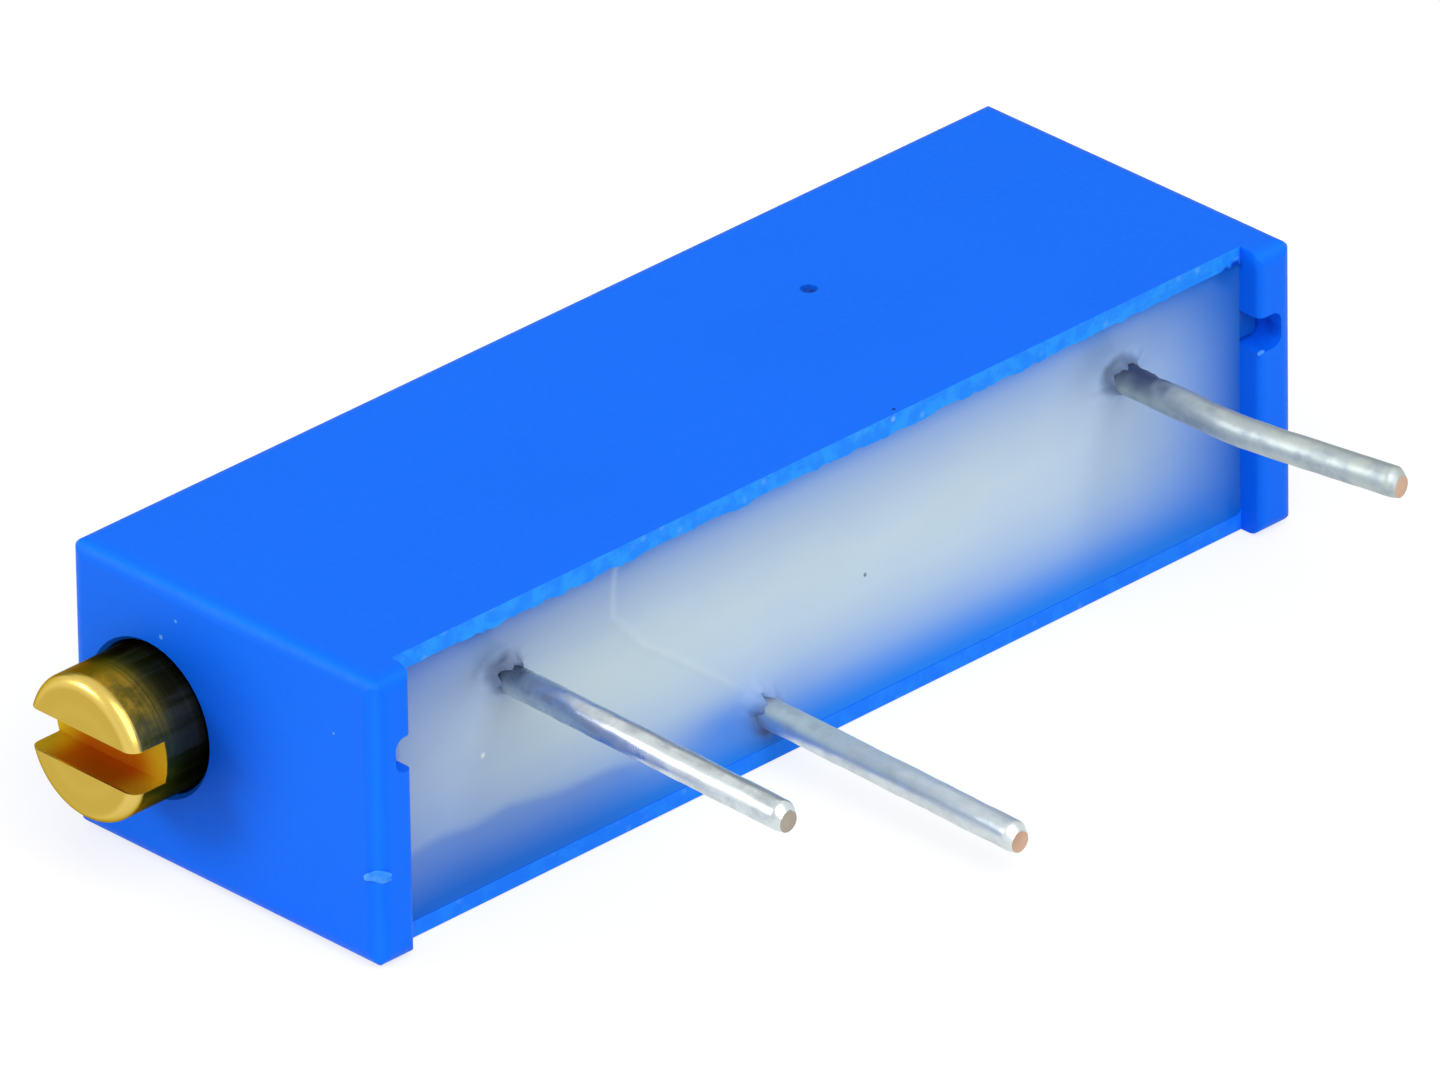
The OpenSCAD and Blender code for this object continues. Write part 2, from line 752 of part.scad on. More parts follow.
// Resin in the foot of a standoff's notch, up to a given level
module seal_in_notch(edge_x, depth, level) {
    intersection() {
        standoff_notch(edge_x, depth);
        along_y(level, y_plate_out)
            rounded_span([-x_far, rim_t], [x_far, body_w - rim_t], pocket_r);
    }
}

module epoxy_seal() {
    color([0.72, 0.79, 0.86])
    difference() {
        union() {
            seal_in_notch(-pocket_x, notch_near, y_seal - seal_overrun);
            seal_in_notch(pocket_x, notch_far, y_seal);
            difference() {
                along_y(y_seal, y_plate_out)
                    rounded_span([-pocket_x, rim_t], [pocket_x, body_w - rim_t], pocket_r);
                translate([0, y_seal_mid - trough_r, mid_z])
                    rod_x(-pocket_x + seal_sag, pocket_x - seal_sag, trough_r);
            }
            seal_collar(near_x, row_high);
            seal_collar(wiper_x, row_low);
            seal_collar(far_x, row_high);
        }
        near_end_pin();
        wiper_pin();
        far_end_pin();
    }
}

housing();
adjustment_screw();
sealing_ring();
retaining_clip();
carriage();
contact_spring();
resistive_brush();
collector_brush();
ceramic_plate();
resistive_track();
collector_track();
near_end_pad();
far_end_pad();
near_end_pin();
wiper_pin();
far_end_pin();
near_solder();
wiper_solder();
far_solder();
epoxy_seal();
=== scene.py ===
"""Studio scene of a rectangular multi-turn trimmer potentiometer.

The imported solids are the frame. This script gives every solid its finish, replaces the
sealing resin and the three wire pins with finer pieces, adds the case's flash and chips
and the resin in its notches, and sets the camera, the lamps and the pale floor.

Object frame: X runs along the body with the screw at -X, the pins point to -Y and Z is
up. Sizes in the classes are in millimetres; meshes are made in metres.
"""
import logging
import math
from collections.abc import Iterable, Sequence
from dataclasses import dataclass, field
from enum import Enum

import bmesh
import bpy
import numpy as np
from mathutils import Matrix, Vector, noise


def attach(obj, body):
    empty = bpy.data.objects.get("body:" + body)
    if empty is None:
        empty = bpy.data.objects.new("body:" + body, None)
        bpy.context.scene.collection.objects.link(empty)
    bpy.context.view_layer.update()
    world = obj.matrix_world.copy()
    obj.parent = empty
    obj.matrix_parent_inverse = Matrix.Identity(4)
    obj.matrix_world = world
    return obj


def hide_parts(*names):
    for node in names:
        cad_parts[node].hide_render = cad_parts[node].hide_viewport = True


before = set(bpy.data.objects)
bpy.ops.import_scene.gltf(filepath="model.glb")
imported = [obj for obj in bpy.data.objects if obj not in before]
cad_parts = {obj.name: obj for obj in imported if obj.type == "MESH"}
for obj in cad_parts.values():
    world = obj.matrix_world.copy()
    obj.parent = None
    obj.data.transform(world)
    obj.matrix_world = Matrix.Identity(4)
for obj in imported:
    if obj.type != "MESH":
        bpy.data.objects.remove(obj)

LOG = logging.getLogger("trimmer")
MM = 0.001
MERGE_DISTANCE = 1e-8
WHITE = (1.0, 1.0, 1.0, 1.0)
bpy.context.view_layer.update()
Point = tuple[float, float, float]
Colour = tuple[float, float, float, float]
Knots = tuple[tuple[float, float], ...]
Feed = float | Sequence[float] | bpy.types.NodeSocket


class Body(Enum):
    """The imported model's body that the new pieces ride on."""

    CASE = "body"


class Slot(Enum):
    """Names of the record's material slots; nothing in the script uses them."""

    CASE = "housing_blue"
    RESIN = "epoxy"
    WIRE = "tinned_wire"


def srgb(red: int, green: int, blue: int) -> Colour:
    """Turn a display colour into a linear one by the usual display curve.

    Args:
        red: Red, from 0 to 255.
        green: Green, from 0 to 255.
        blue: Blue, from 0 to 255.

    Returns:
        The linear colour with an alpha of 1.
    """
    def linear(value: int) -> float:
        """Return one channel in linear light."""
        share = value/255
        return share/12.92 if share <= 0.04045 else ((share + 0.055)/1.055)**2.4

    return (linear(red), linear(green), linear(blue), 1.0)


# ---------------------------------------------------------------- modelling helpers

def deselect() -> None:
    """Leave edit mode and deselect everything."""
    if bpy.context.object and bpy.context.object.mode != "OBJECT":
        bpy.ops.object.mode_set(mode="OBJECT")
    bpy.ops.object.select_all(action="DESELECT")


def pick(obj: bpy.types.Object) -> None:
    """Make one object the only selected and the active one.

    Args:
        obj: The object.
    """
    deselect()
    obj.select_set(True)
    bpy.context.view_layer.objects.active = obj


def start_edit(obj: bpy.types.Object, kind: str = "VERT") -> bmesh.types.BMesh:
    """Enter edit mode on an object with nothing selected.

    Args:
        obj: The mesh object.
        kind: The select mode, VERT, EDGE or FACE.

    Returns:
        The edit mesh, for selecting elements by their place.
    """
    pick(obj)
    bpy.ops.object.mode_set(mode="EDIT")
    bpy.ops.mesh.select_mode(type=kind)
    bpy.ops.mesh.select_all(action="DESELECT")
    return bmesh.from_edit_mesh(obj.data)


def end_edit() -> None:
    """Leave edit mode."""
    bpy.ops.object.mode_set(mode="OBJECT")


def settle(obj: bpy.types.Object, size: Point = (1.0, 1.0, 1.0)) -> None:
    """Size an object along its own axes and apply its place and turn to its mesh.

    Args:
        obj: The object.
        size: The factors along its own axes.
    """
    pick(obj)
    obj.scale = size
    bpy.ops.object.transform_apply(location=True, rotation=True, scale=True)


def add_modifier(obj: bpy.types.Object, kind: str, **settings: object) -> None:
    """Add a modifier and apply it.

    Args:
        obj: The object to work on.
        kind: The modifier's type.
        **settings: The modifier's properties.
    """
    pick(obj)
    modifier = obj.modifiers.new(kind.lower(), kind)
    for name, value in settings.items():
        setattr(modifier, name, value)
    bpy.ops.object.modifier_apply(modifier=modifier.name)


def recalculate(obj: bpy.types.Object) -> None:
    """Merge doubles and point every face outwards.

    Args:
        obj: The mesh object.
    """
    start_edit(obj)
    bpy.ops.mesh.select_all(action="SELECT")
    bpy.ops.mesh.remove_doubles(threshold=MERGE_DISTANCE)
    bpy.ops.mesh.normals_make_consistent(inside=False)
    end_edit()


def weigh(obj: bpy.types.Object, name: str, weights: Sequence[float]) -> None:
    """Write one weight a vertex into a vertex group.

    Args:
        obj: The mesh object.
        name: The group's name.
        weights: The weights, from 0 to 1, in vertex order.
    """
    group = obj.vertex_groups.new(name=name)
    for index, weight in enumerate(weights):
        group.add([index], float(weight), "REPLACE")


def roughen(obj: bpy.types.Object, size: float, height: float, group: str = "") -> None:
    """Push a surface in and out by a cloud pattern.

    Args:
        obj: The object to work on.
        size: The size of the lumps in millimetres.
        height: The height from lowest to highest in millimetres.
        group: The vertex group that limits it, or an empty text.
    """
    clouds = bpy.data.textures.new("cast_clouds", "CLOUDS")
    clouds.noise_scale = size*MM
    clouds.noise_depth = 2
    add_modifier(obj, "DISPLACE", texture=clouds, texture_coords="LOCAL", mid_level=0.5,
                 strength=height*MM, vertex_group=group)


def paint(obj: bpy.types.Object, name: str, values: np.ndarray) -> None:
    """Store one number a vertex as a named attribute.

    Args:
        obj: The mesh object.
        name: The attribute's name.
        values: The numbers in vertex order.
    """
    layer = obj.data.attributes.new(name, "FLOAT", "POINT")
    layer.data.foreach_set("value", values.astype(np.float32))


def positions(obj: bpy.types.Object) -> np.ndarray:
    """Read where the vertices are.

    Args:
        obj: The mesh object.

    Returns:
        Their places in millimetres, one row each.
    """
    places = np.empty(len(obj.data.vertices)*3)
    obj.data.vertices.foreach_get("co", places)
    return places.reshape(-1, 3)/MM


def read_table(values: np.ndarray, knots: Knots) -> np.ndarray:
    """Return the knots' second numbers, read between them at the given values."""
    return np.interp(values, [knot[0] for knot in knots], [knot[1] for knot in knots])


def sheet_noise(x: np.ndarray, z: np.ndarray, scale: tuple[float, float],
                layer: float) -> np.ndarray:
    """Read a smooth noise over a flat sheet.

    Args:
        x: The points' places along the sheet.
        z: The points' places across it.
        scale: The scales along and across.
        layer: The layer of the noise.

    Returns:
        One number a point, from about -1 to 1.
    """
    return np.array([noise.noise(Vector((a*scale[0], b*scale[1], layer)))
                     for a, b in zip(x, z)])


def smooth_by_angle(obj: bpy.types.Object, degrees: float) -> None:
    """Shade smooth where faces meet at less than an angle in degrees."""
    pick(obj)
    bpy.ops.object.shade_smooth_by_angle(angle=math.radians(degrees))


def hand_over(obj: bpy.types.Object, name: str, body: Body,
              finishes: Iterable[bpy.types.Material], replaced: Sequence[str] = ()) -> None:
    """Name a finished piece, give it its finish, hang it on its body's empty and hide the solids
    that it stands for.

    Args:
        obj: The finished object.
        name: Its name.
        body: The body that it rides on.
        finishes: Its materials in slot order.
        replaced: The solids that it stands for.
    """
    obj.name = name
    obj.data.name = name
    obj.vertex_groups.clear()
    for material in finishes:
        obj.data.materials.append(material)
    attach(obj, body.value)
    if replaced:
        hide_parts(*replaced)
    LOG.info("%s: %d faces, rides on %s", name, len(obj.data.polygons), body.value)


# ---------------------------------------------------------------- node helpers

def blank_material(name: str) -> tuple[bpy.types.Material, "Wiring"]:
    """Make a material with an empty node tree.

    Args:
        name: Its name.

    Returns:
        The material and its wiring.
    """
    material = bpy.data.materials.new(name)
    material.use_nodes = True
    material.node_tree.nodes.clear()
    return material, Wiring(material.node_tree)


class Wiring:
    """Adds and links the nodes of one tree."""

    def __init__(self, tree: bpy.types.NodeTree) -> None:
        """Keep the tree to work on."""
        self.tree = tree

    def add(self, kind: str, sockets: dict[str | int, Feed] | None = None,
            **settings: object) -> bpy.types.Node:
        """Add a node.

        Args:
            kind: The node's type.
            sockets: Values or output sockets for its inputs, by name or index.
            **settings: The node's properties.

        Returns:
            The new node.
        """
        node = self.tree.nodes.new(kind)
        for name, value in settings.items():
            setattr(node, name, value)
        for key, value in (sockets or {}).items():
            if isinstance(value, bpy.types.NodeSocket):
                self.tree.links.new(value, node.inputs[key])
            else:
                node.inputs[key].default_value = value
        return node

    def link(self, output: bpy.types.NodeSocket, node: bpy.types.Node, name: str) -> None:
        """Link an output to a node's input."""
        self.tree.links.new(output, node.inputs[name])

    def math(self, operation: str, *values: Feed, clamp: bool = False) -> bpy.types.NodeSocket:
        """Add a Math node and return its output.

        Args:
            operation: The operation's name.
            *values: Its inputs in order, as numbers or sockets.
            clamp: Whether the result stays from 0 to 1.

        Returns:
            The output socket.
        """
        node = self.add("ShaderNodeMath", dict(enumerate(values)), operation=operation,
                        use_clamp=clamp)
        return node.outputs[0]

    def product(self, *values: Feed) -> bpy.types.NodeSocket:
        """Multiply two or more numbers, from the left.

        Args:
            *values: The numbers or sockets.

        Returns:
            The product's socket.
        """
        result = values[0]
        for value in values[1:]:
            result = self.math("MULTIPLY", result, value)
        return result

    def length(self, across: Feed, up: Feed) -> bpy.types.NodeSocket:
        """Return the length of two numbers that stand at right angles."""
        return self.math("SQRT", self.math("ADD", self.product(across, across),
                                           self.product(up, up)))

    def vector(self, operation: str, *values: Feed) -> bpy.types.NodeSocket:
        """Add a Vector Math node and return its vector output.

        Args:
            operation: The operation's name.
            *values: Its inputs in order, as vectors or sockets.

        Returns:
            The output socket.
        """
        return self.add("ShaderNodeVectorMath", dict(enumerate(values)),
                        operation=operation).outputs[0]

    def split(self, vector: bpy.types.NodeSocket) -> list[bpy.types.NodeSocket]:
        """Return a vector's x, y and z as sockets."""
        return list(self.add("ShaderNodeSeparateXYZ", {0: vector}).outputs)

    def ramp(self, value: bpy.types.NodeSocket, low: Feed, high: Feed,
             start: float = 0.0, end: float = 1.0) -> bpy.types.NodeSocket:
        """Map a range smoothly onto another.

        Args:
            value: The socket to map.
            low: The value that gives start.
            high: The value that gives end.
            start: The result at low.
            end: The result at high.

        Returns:
            The output socket.
        """
        return self.add("ShaderNodeMapRange", {0: value, 1: low, 2: high, 3: start, 4: end},
                        interpolation_type="SMOOTHSTEP").outputs[0]

    def spread(self, noise_value: bpy.types.NodeSocket, start: float = 0.0,
               end: float = 1.0) -> bpy.types.NodeSocket:
        """Spread the middle range of a noise, where nearly all of it lies, onto another.

        Args:
            noise_value: The noise's factor.
            start: The result at the range's low end.
            end: The result at its high end.

        Returns:
            The output socket.
        """
        return self.ramp(noise_value, 0.3, 0.7, start, end)

    def mix(self, factor: Feed, first: Feed, second: Feed) -> bpy.types.NodeSocket:
        """Mix two colours.

        Args:
            factor: The share of the second colour.
            first: The first colour.
            second: The second colour.

        Returns:
            The colour's socket.
        """
        return self.add("ShaderNodeMix", {0: factor, 6: first, 7: second},
                        data_type="RGBA").outputs[2]

    def clouds(self, vector: bpy.types.NodeSocket, scale: Feed, detail: float = 3.0,
               roughness: float = 0.55) -> bpy.types.NodeSocket:
        """Add a noise texture and return its factor.

        Args:
            vector: Where to read it.
            scale: Its scale in cells a metre.
            detail: Its number of octaves.
            roughness: The share of the finer octaves.

        Returns:
            The factor's socket.
        """
        return self.add("ShaderNodeTexNoise", {"Vector": vector, "Scale": scale, "Detail": detail,
                                               "Roughness": roughness}).outputs[0]

    def line_noise(self, along: bpy.types.NodeSocket, scale: float,
                   detail: float) -> bpy.types.NodeSocket:
        """Return the factor of a noise that varies with one number only.

        Args:
            along: The number.
            scale: Its scale.
            detail: Its number of octaves.

        Returns:
            The factor's socket.
        """
        return self.add("ShaderNodeTexNoise", {"W": along, "Scale": scale, "Detail": detail},
                        noise_dimensions="1D").outputs[0]

    def reading(self, name: str) -> bpy.types.NodeSocket:
        """Return the value of an attribute that is painted on the mesh."""
        return self.add("ShaderNodeAttribute", attribute_name=name).outputs["Fac"]

    def straight_rays(self) -> bpy.types.NodeSocket:
        """Tell the rays that the camera, a mirror or glass sees from all others.

        Returns:
            A socket that is 1 for them and 0 otherwise.
        """
        path = self.add("ShaderNodeLightPath").outputs
        return self.math("MAXIMUM", path["Is Camera Ray"], self.math(
            "MAXIMUM", path["Is Glossy Ray"], path["Is Transmission Ray"]))


class Effect(Enum):
    """Effects that finishes share, by their node groups' names."""

    EDGES = "edge highlights"
    GRAIN = "cast grain"
    SPECKS = "pale specks"
    TURNING = "turning marks"
    TARNISH = "tarnish"
    STREAKS = "drawn streaks"
    SPOT = "single spot"


class EffectShelf:
    """Builds the shared node groups once and places them in materials."""

    def __init__(self) -> None:
        """Build every group."""
        self.groups = {
            Effect.EDGES: self._edge_highlights(), Effect.GRAIN: self._grain(),
            Effect.SPECKS: self._specks(), Effect.TURNING: self._turning(),
            Effect.TARNISH: self._tarnish(), Effect.STREAKS: self._streaks(),
            Effect.SPOT: self._spot(),
        }

    def place(self, wiring: Wiring, effect: Effect,
              sockets: dict[str, Feed]) -> bpy.types.NodeOutputs:
        """Place a group in a material.

        Args:
            wiring: The material's wiring.
            effect: The effect to place.
            sockets: Values or sockets for its inputs.

        Returns:
            The group node's outputs.
        """
        return wiring.add("ShaderNodeGroup", sockets, node_tree=self.groups[effect]).outputs

    @staticmethod
    def _shell(effect: Effect, inputs: dict[str, Feed], outputs: Sequence[str]
               ) -> tuple[Wiring, bpy.types.NodeOutputs, bpy.types.Node]:
        """Make an empty group with its sockets.

        Args:
            effect: The effect that the group holds.
            inputs: The inputs' names and first values; a tuple makes a vector.
            outputs: The outputs' names, each a number.

        Returns:
            The wiring, the inputs' sockets inside the group and the output node.
        """
        tree = bpy.data.node_groups.new(effect.value, "ShaderNodeTree")
        for name, value in inputs.items():
            kind = "NodeSocketVector" if isinstance(value, tuple) else "NodeSocketFloat"
            tree.interface.new_socket(name, in_out="INPUT", socket_type=kind).default_value = value
        for name in outputs:
            tree.interface.new_socket(name, in_out="OUTPUT", socket_type="NodeSocketFloat")
        wiring = Wiring(tree)
        start = wiring.add("NodeGroupInput")
        return wiring, start.outputs, wiring.add("NodeGroupOutput")

    def _edge_highlights(self) -> bpy.types.NodeTree:
        """Build the group that marks a box's edges unevenly, for a painted highlight along them.

        Returns:
            The group's node tree.
        """
        wiring, given, out = self._shell(
            Effect.EDGES, {"Position": (0, 0, 0), "Centre": (0, 0, 0), "Half Size": (0, 0, 0),
                           "Width": 0.0002, "Unevenness": 0.5}, ("Mask",))
        away = wiring.vector("ABSOLUTE", wiring.vector("SUBTRACT", given["Position"],
                                                       given["Centre"]))
        a, b, c = wiring.split(wiring.vector("SUBTRACT", given["Half Size"], away))
        second = wiring.math("MAXIMUM", wiring.math("MINIMUM", a, b),
                             wiring.math("MINIMUM", wiring.math("MAXIMUM", a, b), c))
        patches = wiring.clouds(given["Position"], 1400.0)
        drift = wiring.product(wiring.math("SUBTRACT", patches, 0.5), given["Unevenness"])
        width = wiring.product(given["Width"], wiring.math("ADD", drift, 1.0))
        wiring.link(wiring.ramp(second, 0.0, width, 1.0, 0.0), out, "Mask")
        return wiring.tree

    def _grain(self) -> bpy.types.NodeTree:
        """Build the group for the fine relief and soft clouding of cast surfaces.

        Returns:
            The group's node tree.
        """
        wiring, given, out = self._shell(
            Effect.GRAIN, {"Position": (0, 0, 0), "Fine Scale": 12000.0, "Cloud Scale": 300.0},
            ("Height", "Clouding"))
        fine = wiring.clouds(given["Position"], given["Fine Scale"], 4.0, 0.6)
        broad = wiring.clouds(given["Position"], given["Cloud Scale"], 2.0)
        wiring.link(fine, out, "Height")
        wiring.link(wiring.spread(broad), out, "Clouding")
        return wiring.tree

    def _specks(self) -> bpy.types.NodeTree:
        """Build the group for sparse small specks.

        Returns:
            The group's node tree.
        """
        wiring, given, out = self._shell(
            Effect.SPECKS, {"Position": (0, 0, 0), "Scale": 2000.0, "Rarity": 0.9,
                            "Size": 0.15}, ("Mask",))
        cells = wiring.add("ShaderNodeTexVoronoi", {"Vector": given["Position"],
                                                    "Scale": given["Scale"]})
        lot = wiring.add("ShaderNodeSeparateColor", {0: cells.outputs["Color"]}).outputs[0]
        kept = wiring.math("GREATER_THAN", lot, given["Rarity"])
        dot = wiring.ramp(cells.outputs["Distance"], 0.0, given["Size"], 1.0, 0.0)
        wiring.link(wiring.product(kept, dot), out, "Mask")
        return wiring.tree

    def _turning(self) -> bpy.types.NodeTree:
        """Build the group for the fine rings that a lathe leaves round the X axis.

        Returns:
            The group's node tree.
        """
        wiring, given, out = self._shell(
            Effect.TURNING, {"Position": (0, 0, 0), "Scale": 12000.0}, ("Height", "Sheen"))
        x, y, z = wiring.split(given["Position"])
        along = wiring.product(wiring.math("ADD", wiring.length(y, z), x), given["Scale"])
        wiring.link(wiring.line_noise(along, 1.0, 3.0), out, "Height")
        wiring.link(wiring.spread(wiring.line_noise(along, 0.12, 1.0)), out, "Sheen")
        return wiring.tree

    def _tarnish(self) -> bpy.types.NodeTree:
        """Build the group for soft-edged patches of tarnish or wear.

        Returns:
            The group's node tree.
        """
        wiring, given, out = self._shell(
            Effect.TARNISH, {"Position": (0, 0, 0), "Scale": 1500.0, "Level": 0.5,
                             "Softness": 0.12}, ("Mask",))
        patches = wiring.clouds(given["Position"], given["Scale"], 5.0, 0.6)
        low = wiring.math("SUBTRACT", given["Level"], given["Softness"])
        high = wiring.math("ADD", given["Level"], given["Softness"])
        wiring.link(wiring.ramp(patches, low, high), out, "Mask")
        return wiring.tree

    def _streaks(self) -> bpy.types.NodeTree:
        """Build the group for streaks drawn out along one axis.

        Returns:
            The group's node tree.
        """
        wiring, given, out = self._shell(
            Effect.STREAKS, {"Position": (0, 0, 0), "Stretch": (1.0, 0.1, 1.0),
                             "Scale": 6000.0}, ("Height", "Mask"))
        drawn = wiring.vector("MULTIPLY", given["Position"], given["Stretch"])
        lines = wiring.clouds(drawn, given["Scale"], 4.0, 0.6)
        wiring.link(lines, out, "Height")
        wiring.link(wiring.ramp(lines, 0.42, 0.62), out, "Mask")
        return wiring.tree

    def _spot(self) -> bpy.types.NodeTree:
        """Build the group for one soft-edged spot at a known place.

        Returns:
            The group's node tree.
        """
        wiring, given, out = self._shell(
            Effect.SPOT, {"Position": (0, 0, 0), "Centre": (0, 0, 0), "Radius": 0.0001},
            ("Mask",))
        wobble = wiring.product(wiring.clouds(given["Position"], 9000.0), 0.6)
        away = wiring.add("ShaderNodeVectorMath", {0: given["Position"], 1: given["Centre"]},
                          operation="DISTANCE").outputs["Value"]
        share = wiring.math("ADD", wiring.math("DIVIDE", away, given["Radius"]), wobble)
        wiring.link(wiring.ramp(share, 0.65, 1.3, 1.0, 0.0), out, "Mask")
        return wiring.tree


# ---------------------------------------------------------------- finishes

@dataclass(frozen=True)
class Spot:
    """One spot on a surface: its place and radius in millimetres."""

    place: Point
    radius: float


@dataclass(frozen=True)
class Band:
    """A range that a mask fades over, in millimetres."""

    start: float
    end: float

    def rising(self, wiring: Wiring, value: bpy.types.NodeSocket) -> bpy.types.NodeSocket:
        """Return a mask that grows from 0 to 1 over the range."""
        return wiring.ramp(value, self.start*MM, self.end*MM)

    def falling(self, wiring: Wiring, value: bpy.types.NodeSocket,
                top: float = 1.0) -> bpy.types.NodeSocket:
        """Return a mask that falls from a top value to 0 over the range."""
        return wiring.ramp(value, self.start*MM, self.end*MM, top, 0.0)


@dataclass(frozen=True)
class Finish:
    """A finish with the values that every material sets on its own shader."""

    label: str
    roughness: float
    metallic: float = 0.0
    specular: float = 0.5

    def begin(self) -> tuple[bpy.types.Material, Wiring, bpy.types.Node, bpy.types.NodeSocket]:
        """Start a material.

        Returns:
            The material, its wiring, its shader and its object coordinates.
        """
        material, wiring = blank_material(self.label)
        shader = wiring.add("ShaderNodeBsdfPrincipled", {
            "Roughness": self.roughness, "Metallic": self.metallic,
            "Specular IOR Level": self.specular})
        wiring.add("ShaderNodeOutputMaterial", {"Surface": shader.outputs[0]})
        place = wiring.add("ShaderNodeTexCoord").outputs["Object"]
        return material, wiring, shader, place

    @staticmethod
    def relief(wiring: Wiring, shader: bpy.types.Node, height: bpy.types.NodeSocket,
               depth: float) -> None:
        """Give the shader a relief.

        Args:
            wiring: The material's wiring.
            shader: The material's shader.
            height: The height, from 0 to 1.
            depth: What a height of 1 stands for, in millimetres.
        """
        bump = wiring.add("ShaderNodeBump", {"Height": height, "Distance": depth*MM})
        wiring.link(bump.outputs[0], shader, "Normal")

    @staticmethod
    def spots(shelf: EffectShelf, wiring: Wiring, place: bpy.types.NodeSocket,
              spots: Iterable[Spot]) -> bpy.types.NodeSocket:
        """Return a mask of single spots.

        Args:
            shelf: The shared effects.
            wiring: The material's wiring.
            place: The object coordinates.
            spots: The spots.

        Returns:
            The mask's socket, from 0 to 1.
        """
        mask: Feed = 0.0
        for spot in spots:
            dot = shelf.place(wiring, Effect.SPOT, {
                "Position": place, "Centre": tuple(value*MM for value in spot.place),
                "Radius": spot.radius*MM})["Mask"]
            mask = wiring.math("MAXIMUM", mask, dot)
        return mask


@dataclass(frozen=True)
class GrainedFinish(Finish):
    """A plain cast, pressed or printed surface of two close tones."""

    tone: Colour = (0.5, 0.5, 0.5, 1.0)
    second_tone: Colour = (0.4, 0.4, 0.4, 1.0)
    fine_scale: float = 12000.0
    cloud_scale: float = 900.0
    depth: float = 0.006
    roughness_spread: float = 0.12

    def build(self, shelf: EffectShelf) -> bpy.types.Material:
        """Return the material.

        Args:
            shelf: The shared effects.

        Returns:
            The finished material.
        """
        material, wiring, shader, place = self.begin()
        grain = shelf.place(wiring, Effect.GRAIN, {
            "Position": place, "Fine Scale": self.fine_scale, "Cloud Scale": self.cloud_scale})
        wiring.link(wiring.mix(grain["Clouding"], self.tone, self.second_tone), shader,
                    "Base Color")
        gloss = wiring.spread(grain["Height"], self.roughness - self.roughness_spread/2,
                              self.roughness + self.roughness_spread/2)
        wiring.link(gloss, shader, "Roughness")
        self.relief(wiring, shader, grain["Height"], self.depth)
        return material


@dataclass(frozen=True)
class DrawnFinish(Finish):
    """A drawn, rolled or dipped metal surface with streaks along one axis."""

    tone: Colour = (0.7, 0.7, 0.7, 1.0)
    second_tone: Colour = (0.5, 0.5, 0.5, 1.0)
    stretch: Point = (1.0, 0.1, 1.0)
    scale: float = 6000.0
    depth: float = 0.006
    dull: float = 0.2
    patch_scale: float = 1100.0
    patch_level: float = 0.52
    patch_softness: float = 0.14
    foot: Colour | None = None

    def build(self, shelf: EffectShelf) -> bpy.types.Material:
        """Return the material.

        Args:
            shelf: The shared effects.

        Returns:
            The finished material.
        """
        material, wiring, shader, place = self.begin()
        streaks = shelf.place(wiring, Effect.STREAKS, {
            "Position": place, "Stretch": self.stretch, "Scale": self.scale})
        patches = shelf.place(wiring, Effect.TARNISH, {
            "Position": place, "Scale": self.patch_scale, "Level": self.patch_level,
            "Softness": self.patch_softness})["Mask"]
        streaked = wiring.product(patches, streaks["Mask"])
        colour = wiring.mix(wiring.product(wiring.math("ADD", streaked, patches), 0.5),
                            self.tone, self.second_tone)
        # The foot's dark tone: flux and resin staining, and painted shade at the pin's root.
        if self.foot:
            colour = wiring.mix(wiring.reading("foot"), colour, self.foot)
        wiring.link(colour, shader, "Base Color")
        gloss = wiring.math("ADD", self.roughness, wiring.product(patches, self.dull))
        wiring.link(gloss, shader, "Roughness")
        self.relief(wiring, shader, streaks["Height"], self.depth)
        return material


